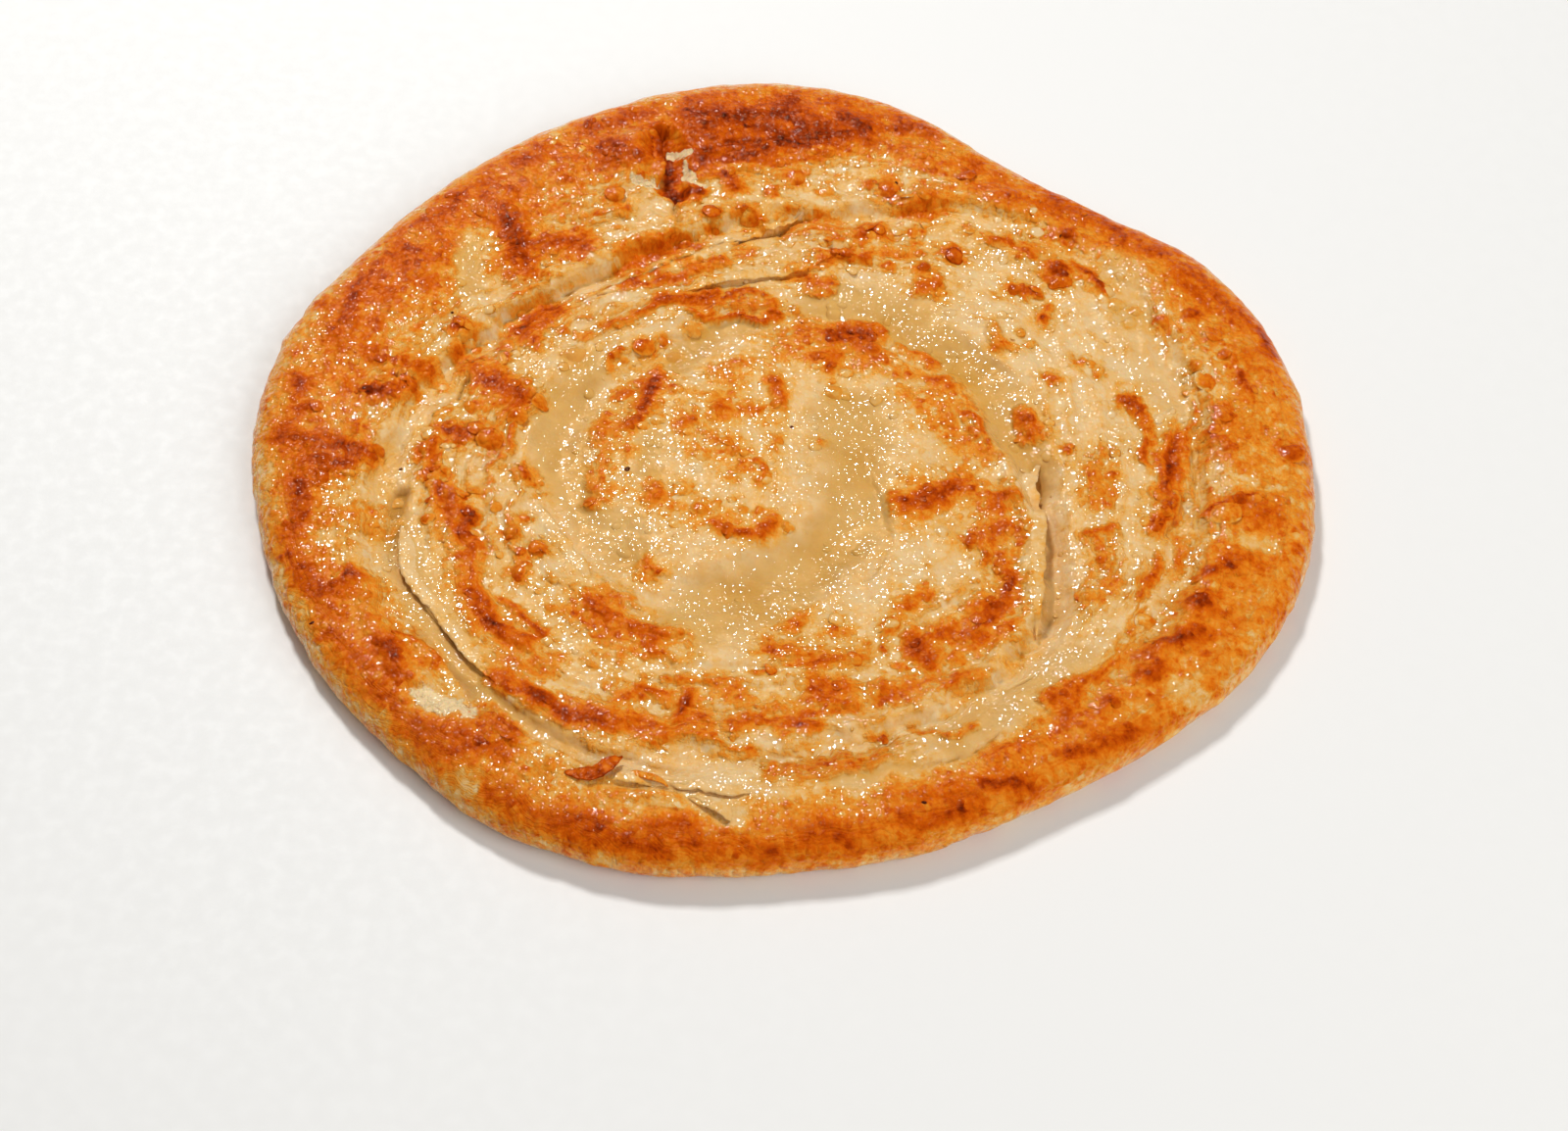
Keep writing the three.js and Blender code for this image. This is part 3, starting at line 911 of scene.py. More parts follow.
def toast_of(dough, marks):
    """How toasted the crust is: its rim, the bare dough inside it, and the marks on both."""
    eighth = dough.angle / TAU * len(RIM_WIDTHS)
    rim_width = through(RIM_WIDTHS, eighth, closed=True)
    rim_tone = through(RIM_TONES, eighth, closed=True)
    rim = smoothstep(1.15, 0.6, (dough.inset + 3 * dough.mottle) / rim_width) * (1 - marks.rim_gap)
    rim_toast = rim_tone + 0.19 * dough.mottle + 0.27 * marks.browned
    freckle = smoothstep(0.25, 0.9, dough.mottle + 0.5 * dough.lump) * (1 - marks.pool)
    bare = 0.06 + 0.10 * freckle + 0.30 * marks.halo + dough.flaky * 0.30 * (dough.layer**3 - 0.15)
    toast = mix(bare, rim_toast, rim) * (1 - 0.7 * marks.pool)
    toast = np.maximum(toast, marks.golden * np.clip(0.7 + 0.8 * dough.mottle, 0.1, 1.3))
    toast = np.maximum(toast, marks.foot)
    toast = np.maximum(toast, marks.browned * (1 + 0.22 * dough.mottle)) + 0.05 * dough.grain
    toast *= (1 - 0.75 * marks.pale) * (1 - 0.5 * marks.white)
    return np.minimum(toast, DARKEST)


def height_of(dough, marks):
    """How high the crust stands: the round's section, the fold, the layers, and the relief on them."""
    inset = dough.inset
    lumps = LUMP_RELIEF * dough.lump + GRAIN_RELIEF * dough.grain
    height = crust_height(inset) + dough.fold
    height += LAYER_RELIEF * dough.flaky * (dough.layer - 0.4)
    height += smoothstep(2, 9, inset) * (1 - 0.6 * marks.pool) * lumps
    height += smoothstep(3, 10, inset) * BROWNED_RISE * smoothstep(0.3, 0.8, marks.browned)
    height -= WET_SINK * marks.pool
    height += marks.mound - TORN_SINK * smoothstep(0.3, 0.6, marks.crumb)
    return height - (marks.cracks + marks.tear + marks.sink)


def gap_shade_of(marks):
    """Painted shade inside cracks and past the layers' edges, where the crust isn't browned anyway."""
    gap = np.clip(np.maximum(marks.cracks / 1.4, 0.85 * marks.shade), 0, 1)
    return gap * (1 - smoothstep(0.6, 0.9, marks.browned))


def read_surface(x, y):
    """The crust's height, how toasted, wet or torn it is, and its painted shade, at places on the round."""
    marks = read_marks(x, y)
    dough = read_dough(x, y, marks.pool)
    return Surface(
        height=height_of(dough, marks),
        toast=toast_of(dough, marks),
        pool=marks.pool,
        crumb=marks.crumb,
        gap=gap_shade_of(marks),
        across=dough.turn * ROPE_WIDTH,
        flaky=dough.flaky,
    )


def height_and_normal(x, y, span):
    """The crust's height and upward direction at places, averaged over a span on each side."""
    here, right, left, back, front = (
        read_surface(x + dx, y + dy).height
        for dx, dy in ((0, 0), (span, 0), (-span, 0), (0, span), (0, -span))
    )
    slope = np.stack((left - right, front - back, np.full_like(x, 2 * span)), axis=1)
    return (here + right + left + back + front) / 5, slope / np.linalg.norm(slope, axis=1, keepdims=True)


def stitch(inner, outer):
    """Triangles between two rings, each given by its first vertex and its count."""
    (a, near), (b, far) = inner, outer
    faces = []
    i = j = 0
    while i < near or j < far:
        step_far = j < far and (i >= near or (j + 1) * near <= (i + 1) * far)
        if step_far:
            if far > 1:
                faces.append((a + i % near, b + j % far, b + (j + 1) % far))
            j += 1
        else:
            if near > 1:
                faces.append((a + i % near, b + j % far, a + (i + 1) % near))
            i += 1
    return faces


def ring_of(count):
    angle = np.arange(count) * TAU / count
    return angle, outline_radius(angle) / MEAN_RADIUS


def top_rings():
    """Rings of places from the middle of the top out to the shoulder."""
    rings = [(np.zeros(1), np.zeros(1))]
    for ring in range(1, TOP_RINGS + 1):
        angle, stretch = ring_of(RING_GROWTH * ring)
        radius = (MEAN_RADIUS - SHOULDER_INSET) * ring / TOP_RINGS * stretch
        rings.append((radius * np.cos(angle), radius * np.sin(angle)))
    return rings


def side_ring(step):
    """Places and surface values of a ring round the rim's side, from the shoulder down to the foot."""
    turn = math.pi / 2 * (1 - 2 * step / SIDE_RINGS)
    inset = (FOOT_INSET if turn < 0 else SHOULDER_INSET) * (1 - math.cos(turn))
    reach = NOSE_HEIGHT if turn < 0 else SHOULDER_HEIGHT - NOSE_HEIGHT
    level = NOSE_HEIGHT + reach * math.sin(turn)
    angle, stretch = ring_of(RING_GROWTH * TOP_RINGS)
    radius = (MEAN_RADIUS - inset) * stretch
    x = radius * np.cos(angle)
    y = radius * np.sin(angle)
    ragged = 0.45 * EDGE.at(x / 6, y / 6, level / 4 + 20)
    ragged = ragged + 0.2 * EDGE.at(x / 2.4, y / 2.4, level / 2 + 40)
    x = x + ragged * math.cos(turn) * np.cos(angle)
    y = y + ragged * math.cos(turn) * np.sin(angle)
    surface = read_surface(x, y)
    browns_from = through(PALE_SIDES, angle / TAU * len(PALE_SIDES), closed=True)
    side = smoothstep(-1.6, 0.8, level - browns_from + 0.8 * MOTTLE.rough(x, y, 5, 3))
    pale = 0.32 + 0.10 * MOTTLE.rough(x, y + level * 3, 7, 3)
    toast = mix(pale, surface.toast, side)
    none = np.zeros_like(x)
    return x, y, none + level, toast, surface.pool * side, none, none, surface.across + level, none + 0.5


def underside_ring(ring):
    """Places and surface values of a ring of the underside, from the foot in to the middle."""
    share = 1 - ring / UNDERSIDE_RINGS
    angle, stretch = ring_of(max(1, round(UNDERSIDE_COUNT * share)))
    radius = (MEAN_RADIUS - FOOT_INSET) * share * stretch
    x = radius * np.cos(angle)
    y = radius * np.sin(angle)
    level = 0.5 * np.maximum(0, LUMPS.rough(x, y + 500, 14, 2))
    toast = 0.5 + 0.4 * MOTTLE.rough(x, y + 900, 20, 4)
    none = np.zeros_like(x)
    return x, y, level, toast, none, none, none, none, none


def crust_mesh_data():
    """Vertices, triangles and surface values of the whole closed crust."""
    tops = top_rings()
    x, y = (np.concatenate(column) for column in zip(*tops))
    slide_x, slide_y = overhang(*strayed(x, y, EDGE_STRAY))
    top = (x + slide_x, y + slide_y, *read_surface(x, y))
    sides = [side_ring(step) for step in range(1, SIDE_RINGS + 1)]
    undersides = [underside_ring(ring) for ring in range(1, UNDERSIDE_RINGS + 1)]
    counts = [len(ring[0]) for ring in (*tops, *sides, *undersides)]
    x, y, *values = (np.concatenate(column) for column in zip(top, *sides, *undersides))
    starts = np.concatenate(([0], np.cumsum(counts)[:-1]))
    rings = list(zip(starts.tolist(), counts))
    faces = list(itertools.chain.from_iterable(stitch(*pair) for pair in zip(rings[:-1], rings[1:])))
    return x, y, faces, Surface(*values)


def make_object(name, points, faces):
    """A smooth mesh object at the origin, linked to the scene."""
    mesh = bpy.data.meshes.new(name)
    mesh.from_pydata(points.tolist(), [], faces)
    mesh.update()
    mesh.shade_smooth()
    piece = bpy.data.objects.new(name, mesh)
    bpy.context.scene.collection.objects.link(piece)
    return piece


def store(mesh, name, values):
    attribute = mesh.attributes.new(name, "FLOAT", "POINT")
    attribute.data.foreach_set("value", np.asarray(values, np.float32))


def store_surface(mesh, surface):
    for name in Surface._fields[1:]:
        store(mesh, name, getattr(surface, name))


def srgb(code):
    """A linear colour from a hex code as painters give it."""
    channels = [int(code[i:i + 2], 16) / 255 for i in (0, 2, 4)]
    return tuple(c / 12.92 if c <= 0.04045 else ((c + 0.055) / 1.055) ** 2.4 for c in channels)


def add_node(tree, kind, inputs=None, **settings):
    """A new node with its settings made and its inputs filled or linked."""
    node = tree.nodes.new(kind)
    for name, value in settings.items():
        setattr(node, name, value)
    for socket, value in (inputs or {}).items():
        if isinstance(value, bpy.types.NodeSocket):
            tree.links.new(value, node.inputs[socket])
        else:
            node.inputs[socket].default_value = value
    return node


def math_node(tree, operation, first, second):
    node = add_node(tree, "ShaderNodeMath", {0: first, 1: second}, operation=operation)
    return node.outputs[0]


def mix_colour(tree, share, first, second):
    node = add_node(tree, "ShaderNodeMix", {0: share, 6: first, 7: second}, data_type="RGBA")
    return node.outputs[2]


def remap(tree, value, from_low, from_high, to_low, to_high, easing="LINEAR"):
    sockets = {0: value, 1: from_low, 2: from_high, 3: to_low, 4: to_high}
    return add_node(tree, "ShaderNodeMapRange", sockets, interpolation_type=easing).outputs[0]


def vector_math(tree, operation, first, second):
    node = add_node(tree, "ShaderNodeVectorMath", {0: first, 1: second}, operation=operation)
    return node.outputs[0]


def unrolled_place(tree):
    """Places on the crust with the rim's side laid out flat round the top, so that one pattern fits both."""
    place = add_node(tree, "ShaderNodeTexCoord").outputs["Object"]
    height = add_node(tree, "ShaderNodeSeparateXYZ", {0: place}).outputs[2]
    below = math_node(tree, "MAXIMUM", math_node(tree, "SUBTRACT", MIDDLE_HEIGHT * MM, height), 0.0)
    level = vector_math(tree, "MULTIPLY", place, (1, 1, 0))
    radius = add_node(tree, "ShaderNodeVectorMath", {0: level}, operation="LENGTH").outputs[1]
    below = product(tree, below, remap(tree, radius, SIDE_STARTS * MM, SIDE_FULL * MM, 0, 1))
    outwards = add_node(tree, "ShaderNodeVectorMath", {0: level}, operation="NORMALIZE").outputs[0]
    shift = add_node(tree, "ShaderNodeVectorMath", {0: outwards, "Scale": below}, operation="SCALE")
    return vector_math(tree, "ADD", level, shift.outputs[0])


def noise_node(tree, place, size, detail):
    """Noise with lumps of about that size in millimetres."""
    sockets = {"Vector": place, "Scale": 1 / (size * MM), "Detail": detail, "Roughness": 0.55}
    return add_node(tree, "ShaderNodeTexNoise", sockets, noise_dimensions="2D").outputs["Fac"]


def streak_node(tree, place, across):
    """Fine lines along the layers: noise that changes fast across them and slowly along them."""
    x, y, _ = add_node(tree, "ShaderNodeSeparateXYZ", {0: place}).outputs
    sockets = {
        0: math_node(tree, "DIVIDE", across, 1.1),
        1: math_node(tree, "DIVIDE", x, 9 * MM),
        2: math_node(tree, "DIVIDE", y, 9 * MM),
    }
    lines = add_node(tree, "ShaderNodeCombineXYZ", sockets).outputs[0]
    return add_node(tree, "ShaderNodeTexNoise", {"Vector": lines, "Scale": 1, "Detail": 3}).outputs["Fac"]


def bubble_nodes(tree, place, size):
    """Round bubbles of about that size in millimetres: packed, apart, and as paler or browner spots."""
    sockets = {"Vector": place, "Scale": 1 / (size * MM)}
    cells = add_node(tree, "ShaderNodeTexVoronoi", sockets, voronoi_dimensions="2D")
    spread = product(tree, cells.outputs["Distance"], cells.outputs["Distance"], 4.0)
    packed = math_node(tree, "SUBTRACT", 1.0, spread)
    apart = math_node(tree, "MAXIMUM", packed, 0.0)
    chance = add_node(tree, "ShaderNodeSeparateColor", {0: cells.outputs["Color"]}).outputs[0]
    return Bubbles(packed, apart, product(tree, apart, remap(tree, chance, 0, 1, -1, 1)))


def attribute_node(tree, name):
    return add_node(tree, "ShaderNodeAttribute", attribute_name=name).outputs["Fac"]


def new_material(name):
    """A material with an empty tree, and its output node."""
    material = bpy.data.materials.new(name)
    material.use_nodes = True
    tree = material.node_tree
    tree.nodes.clear()
    return material, tree, add_node(tree, "ShaderNodeOutputMaterial")


def toast_ramp(tree, toast, colours):
    """The colour of dough from raw to nearly burnt."""
    stops = [
        (0.00, colours.cream),
        (0.16, colours.straw),
        (0.30, colours.pale_gold),
        (0.43, colours.gold),
        (0.56, colours.amber),
        (0.70, colours.orange),
        (0.84, colours.brown),
        (0.98, colours.dark),
        (1.15, colours.burnt),
    ]
    full = stops[-1][0]
    ramp = add_node(tree, "ShaderNodeValToRGB", {"Fac": math_node(tree, "DIVIDE", toast, full)})
    elements = ramp.color_ramp.elements
    while len(elements) < len(stops):
        elements.new(0.5)
    for element, (place, colour) in zip(elements, stops):
        element.position = place / full
        element.color = (*colour, 1)
    return ramp.outputs["Color"]


def weighted_sum(tree, *terms):
    """The sum of values, each given with its share."""
    parts = [value if share == 1 else math_node(tree, "MULTIPLY", value, share) for value, share in terms]
    total = parts[0]
    for part in parts[1:]:
        total = math_node(tree, "ADD", total, part)
    return total


def product(tree, first, *others):
    for other in others:
        first = math_node(tree, "MULTIPLY", first, other)
    return first


def swing(tree, noise):
    """Noise spread out to between about -1 and 1."""
    return remap(tree, noise, 0.3, 0.7, -1, 1)


def crisp_edges(tree, toast):
    """Browning that sets in abruptly: little dough is between pale and golden."""
    sudden = remap(tree, toast, 0.12, 0.44, 0.08, 0.5, "SMOOTHERSTEP")
    gradual = remap(tree, toast, 0.08, 0.5, 0.08, 0.5)
    return weighted_sum(tree, (toast, 1), (sudden, CRISPNESS), (gradual, -CRISPNESS))


def blister_tone(tree, dome):
    """How much darker a blister is than the crust: browned ones on top, pale ones at the foot."""
    tone = attribute_node(tree, "tone")
    crown = remap(tree, dome, 0, 0.5, 0, 1, "SMOOTHSTEP")
    foot = remap(tree, dome, 0, 0.22, 0, 1, "SMOOTHSTEP")
    # Pale ones darker round the foot, partly browner dough, partly painted contact shade; lighter on the
    # crown.
    ring = remap(tree, dome, 0.15, 0.6, 0.10, -0.08, "SMOOTHSTEP")
    browned = math_node(tree, "ADD", attribute_node(tree, "toast"), tone)
    ring = product(tree, ring, foot, remap(tree, browned, 0.3, 0.5, 1, 0))
    return math_node(tree, "ADD", product(tree, tone, crown), ring)


def crust_patterns(tree, place):
    """The noises, bubbles and surface values that the colour, the relief and the oil share."""
    return Patterns(
        broad=noise_node(tree, place, 13, 3),
        coarse=noise_node(tree, place, 3.5, 2),
        fine=noise_node(tree, place, 1.3, 3),
        grain=noise_node(tree, place, 0.5, 1),
        streak=streak_node(tree, place, attribute_node(tree, "across")),
        bubbles=bubble_nodes(tree, place, 2.1),
        pimples=bubble_nodes(tree, place, 1.1),
        pool=attribute_node(tree, "pool"),
        flaky=attribute_node(tree, "flaky"),
        dome=attribute_node(tree, "dome"),
    )


def speckled_toast(tree, patterns):
    """How toasted the crust is, with its grain, bubbles and fine lines."""
    toast = math_node(tree, "ADD", attribute_node(tree, "toast"), blister_tone(tree, patterns.dome))
    speckle = weighted_sum(
        tree,
        (swing(tree, patterns.grain), 0.06),
        (swing(tree, patterns.fine), 0.08),
        (swing(tree, patterns.coarse), 0.10),
        (product(tree, swing(tree, patterns.streak), patterns.flaky), 0.19),
        (patterns.bubbles.tones, 0.24),
        (patterns.pimples.tones, 0.13),
    )
    speckle = product(
        tree,
        speckle,
        remap(tree, toast, 0.05, 0.3, 0.3, 1),
        remap(tree, toast, 0.45, 0.7, 1, 0.55),
        remap(tree, patterns.pool, 0, 1, 1, 0.3),
    )
    return crisp_edges(tree, math_node(tree, "ADD", toast, speckle))


def torn_share(tree, patterns):
    """How far the white inside shows where the crust has torn, with a ragged edge."""
    torn = weighted_sum(
        tree,
        (attribute_node(tree, "crumb"), 1),
        (swing(tree, patterns.fine), 0.2),
        (swing(tree, patterns.coarse), 0.25),
    )
    return remap(tree, torn, 0.48, 0.74, 0, 0.95, "SMOOTHSTEP")


def crust_colour(tree, patterns, toast, torn, colours):
    """Toasted dough, and over it wet dough, torn crumb and the painted shade in cracks and past edges."""
    deep = remap(tree, patterns.broad, 0.35, 0.65, 0, 1)
    wet = mix_colour(tree, deep, (*colours.pool, 1), (*colours.pool_deep, 1))
    colour = mix_colour(tree, product(tree, patterns.pool, 0.85), toast_ramp(tree, toast, colours), wet)
    colour = mix_colour(tree, torn, colour, (*colours.crumb, 1))
    # Painted shade: cracks and the dough past the layers' edges are mixed towards a shaded colour.
    return mix_colour(tree, attribute_node(tree, "gap"), colour, (*colours.crack, 1))


def crust_relief(tree, patterns, toast, torn):
    """The bump of bubbles, lines and torn dough, low where the dough is wet or pale."""
    relief = weighted_sum(
        tree,
        (patterns.bubbles.apart, 1),
        (patterns.pimples.apart, 0.4),
        (patterns.fine, 0.7),
        (product(tree, patterns.streak, remap(tree, patterns.flaky, 0, 1, 0.3, 2.1)), 1),
        (product(tree, torn, patterns.coarse), 2),
    )
    relief = product(
        tree,
        relief,
        remap(tree, patterns.dome, 0.1, 0.4, 1, 0.8),
        remap(tree, patterns.pool, 0, 1, 1, 0.3),
        remap(tree, toast, 0.1, 0.5, 0.4, 1),
    )
    return add_node(tree, "ShaderNodeBump", {"Strength": 1, "Distance": FINE_RELIEF * MM, "Height": relief})


def oil_ripples(tree, patterns):
    """The bump of the oil's own skin, which breaks the light up into small glints."""
    shine = weighted_sum(
        tree,
        (patterns.bubbles.packed, 0.6),
        (patterns.pimples.packed, 0.7),
        (patterns.pimples.tones, 0.3),
        (patterns.fine, 0.8),
    )
    shine = product(tree, shine, remap(tree, patterns.dome, 0.1, 0.4, 1, 0.5))
    return add_node(tree, "ShaderNodeBump", {"Strength": 1, "Distance": OIL_RIPPLE * MM, "Height": shine})


def oil_film(tree, place, patterns, toast, torn):
    """How much oil lies on the crust: patches of it, little on brown or torn dough, more on blisters."""
    oil = remap(tree, noise_node(tree, place, 5, 2), 0.36, 0.56, 0.1, 1)
    oil = product(tree, oil, remap(tree, toast, 0.3, 0.7, 1, 0.13), remap(tree, torn, 0, 1, 1, 0.2))
    oil = math_node(tree, "MAXIMUM", oil, remap(tree, patterns.dome, 0.1, 0.3, 0, 0.45))
    return product(tree, oil, remap(tree, toast, 1.0, 1.2, 1, 0))


def crust_material(name, colours, softness):
    """Fried dough: grainy and blistered where it browned, smooth and wet where it stayed pale."""
    material, tree, output = new_material(name)
    place = unrolled_place(tree)
    patterns = crust_patterns(tree, place)
    toast = speckled_toast(tree, patterns)
    torn = torn_share(tree, patterns)
    shader = add_node(
        tree,
        "ShaderNodeBsdfPrincipled",
        {
            "Base Color": crust_colour(tree, patterns, toast, torn, colours),
            "Roughness": 0.32,
            "Normal": crust_relief(tree, patterns, toast, torn).outputs["Normal"],
            "IOR": 1.45,
            "Specular IOR Level": 0.15,
            "Specular Tint": (*colours.glint, 1),
            "Subsurface Weight": softness,
            "Subsurface Radius": (1.0, 0.55, 0.2),
            "Subsurface Scale": 1.0 * MM,
            "Coat Weight": oil_film(tree, place, patterns, toast, torn),
            "Coat Roughness": 0.07,
            "Coat IOR": 1.6,
            "Coat Normal": oil_ripples(tree, patterns).outputs["Normal"],
        },
    )
    tree.links.new(shader.outputs["BSDF"], output.inputs["Surface"])
    return material


def sheet_faces(rows, columns):
    """Quads of a closed thin sheet whose top grid of vertices comes before its bottom one."""
    top = np.arange(rows * columns).reshape(rows, columns)
    low = top + rows * columns
    faces = []
    for i, j in itertools.product(range(rows - 1), range(columns - 1)):
        faces.append((top[i, j], top[i + 1, j], top[i + 1, j + 1], top[i, j + 1]))
        faces.append((low[i, j], low[i, j + 1], low[i + 1, j + 1], low[i + 1, j]))
    edge = [top[i, 0] for i in range(rows)]
    edge += [top[rows - 1, j] for j in range(1, columns)]
    edge += [top[i, columns - 1] for i in range(rows - 2, -1, -1)]
    edge += [top[0, j] for j in range(columns - 2, 0, -1)]
    for a, b in zip(edge, edge[1:] + edge[:1]):
        shift = rows * columns
        faces.append((a, a + shift, b + shift, b))
    return [tuple(int(v) for v in face) for face in faces]


def flake_sheet(tone, width, lift, spine, thickness):
    """A loose flake: a curled leaf, pointed at both ends, whose tip stands up from the crust."""
    x, y, left_x, left_y, along = spine_points(spine, 0.5)
    across = np.linspace(-1, 1, 9)[None, :]
    shape = np.sin(math.pi * mix(0.03, 0.98, along)) ** 0.9 * (1 + 0.25 * EDGE.rough(x / 1.6, y / 1.6, 1, 2))
    offset = across * shape[:, None] * width / 2
    px = x[:, None] + left_x[:, None] * offset
    py = y[:, None] + left_y[:, None] * offset
    ground = read_surface(px.ravel(), py.ravel()).height.reshape(px.shape)
    rise = lift * along[:, None] ** 1.5 + 0.1 * width * across**2 * along[:, None]
    top = np.max(ground, axis=1)[:, None] + 0.1 + rise
    low = top - thickness * mix(1, 0.5, across**2)
    toast = tone + 0.12 * across**2 + 0.15 * MOTTLE.rough(px, py, 3, 2)
    return px, py, top, low, toast


def flap_sheet(reach, spine, thickness):
    """The lifted edge of a layer: free and ragged past its line, sunk into the crust on the other side."""
    x, y, left_x, left_y, along = spine_points(spine, 0.4)
    across = np.linspace(0, 1, 8)[None, :]
    taper = smoothstep(0, 0.2, along) * (1 - smoothstep(0.8, 1, along))
    past = (reach + 0.5 + 0.5 * EDGE.rough(x, y, 2.2, 3)) * taper
    offset = mix(-past[:, None], 0.4 + FLAP_WIDTH * taper[:, None], across)
    px = x[:, None] + left_x[:, None] * offset
    py = y[:, None] + left_y[:, None] * offset
    under = read_surface(px.ravel(), py.ravel())
    ground = under.height.reshape(px.shape)
    edge = read_surface(x + 1.2 * left_x, y + 1.2 * left_y)
    lift = taper * np.clip(0.2 + 0.4 * EDGE.rough(x, y, 9, 2), 0, 0.5) - 0.3 * (1 - taper)
    flat = (edge.height + lift)[:, None]
    top = mix(flat, ground - 0.3, smoothstep(0.45, 1, across))
    low = top - thickness * mix(0.4, 1, smoothstep(0, 0.4, across))
    rim = edge.toast * mix(0.6, 1, smoothstep(0.3, 0.5, edge.toast)) + 0.06
    toast = mix(rim[:, None], under.toast.reshape(px.shape), smoothstep(0.1, 0.6, across))
    return px, py, top, low, toast


def layers_mesh_data(thickness):
    """All flakes and lifted edges as closed thin sheets in one mesh, with how toasted each point is."""
    sheets = [flake_sheet(*flake[:3], flake[3:], thickness) for flake in FLAKES]
    sheets += [flap_sheet(reach, spine, thickness) for drop, _, reach, *spine in STEPS if drop >= FLAP_DROP]
    points = []
    faces = []
    toasts = []
    first = 0
    for px, py, top, low, toast in sheets:
        for level in (top, low):
            points.append(np.stack((px.ravel(), py.ravel(), level.ravel()), axis=1))
            toasts.append(toast.ravel())
        faces += [tuple(first + v for v in reversed(face)) for face in sheet_faces(*px.shape)]
        first += 2 * px.size
    return np.concatenate(points), faces, np.concatenate(toasts)


def blister_points(count, smallest, largest):
    """Every blister: those read one by one, and fine ones strewn where the crust browned."""
    dice = np.random.default_rng(STREWN_SEED)
    tries = count * STREWN_TRIES
    angle = dice.uniform(0, TAU, tries)
    radius = STREWN_REACH * np.sqrt(dice.uniform(0, 1, tries))
    x = radius * np.cos(angle)
    y = radius * np.sin(angle)
    surface = read_surface(x, y)
    liking = 0.12 + 0.9 * smoothstep(0.25, 0.6, surface.toast) * (1 - surface.pool)
    liking *= smoothstep(-0.4, 0.5, MOTTLE.rough(x, y + 300, 12, 2)) * (1 - surface.crumb)
    liking *= smoothstep(4, 9, inset_at(x, y)) * mix(0.2, 1, smoothstep(-45, -25, y))
    kept = np.flatnonzero(dice.uniform(0, 1, tries) < liking)[:count]
    size = smallest * (largest / smallest) ** (dice.uniform(0, 1, kept.size) ** 2)
    extra = dice.uniform(-0.06, 0.2, kept.size) * (1 - smoothstep(0.3, 0.6, surface.toast[kept]))
    tone = surface.toast[kept] + extra
    strewn = np.stack((x[kept], y[kept], size, tone), axis=1)
    burnt = np.array([(*speck, SPECK_TONE) for speck in SPECKS])
    return np.concatenate((np.array(BLISTERS) * (1, 1, 1, BLISTER_SHADE), strewn, burnt))


def bubble_mesh(tree, detail):
    """A ball drawn out into a low bell above and below, thin all round, which keeps its points' heights."""
    ball = add_node(tree, "GeometryNodeMeshIcoSphere", {"Radius": 0.5, "Subdivisions": detail})
    position = add_node(tree, "GeometryNodeInputPosition").outputs[0]
    x, y, z = add_node(tree, "ShaderNodeSeparateXYZ", {0: position}).outputs
    spread = math_node(tree, "ADD", product(tree, x, x), product(tree, y, y))
    inner = math_node(tree, "SUBTRACT", 1.0, product(tree, spread, 4.0))
    inner = math_node(tree, "MAXIMUM", inner, 0.0)
    side = math_node(tree, "SIGN", z, 0.0)
    height = product(tree, math_node(tree, "POWER", inner, 1.15), 0.5, side)
    moved = add_node(tree, "ShaderNodeCombineXYZ", {0: x, 1: y, 2: height}).outputs[0]
    shaped = add_node(tree, "GeometryNodeSetPosition", {"Geometry": ball.outputs["Mesh"], "Position": moved})
    sockets = {"Geometry": shaped.outputs[0], "Name": "dome", "Value": product(tree, z, 2.0)}
    marked = add_node(tree, "GeometryNodeStoreNamedAttribute", sockets, data_type="FLOAT")
    return add_node(tree, "GeometryNodeSetShadeSmooth", {"Geometry": marked.outputs[0]}).outputs[0]


def wobble(tree):
    """A small offset along the crust that changes from place to place."""
    position = add_node(tree, "GeometryNodeInputPosition").outputs[0]
    sockets = {"Vector": position, "Scale": 1 / (WOBBLE_SIZE * MM), "Detail": 1}
    noise = add_node(tree, "ShaderNodeTexNoise", sockets)
    middle = vector_math(tree, "SUBTRACT", noise.outputs["Color"], (0.5, 0.5, 0.5))
    return vector_math(tree, "MULTIPLY", middle, (WOBBLE_REACH * MM, WOBBLE_REACH * MM, 0))


def stored_value(tree, name, kind):
    """What each vertex carries under that name."""
    return add_node(tree, "GeometryNodeInputNamedAttribute", {"Name": name}, data_type=kind).outputs[0]


def random_value(tree, low, high, seed):
    """A number for each vertex, between two limits."""
    sockets = {2: low, 3: high, "Seed": seed}
    return add_node(tree, "FunctionNodeRandomValue", sockets, data_type="FLOAT").outputs[1]


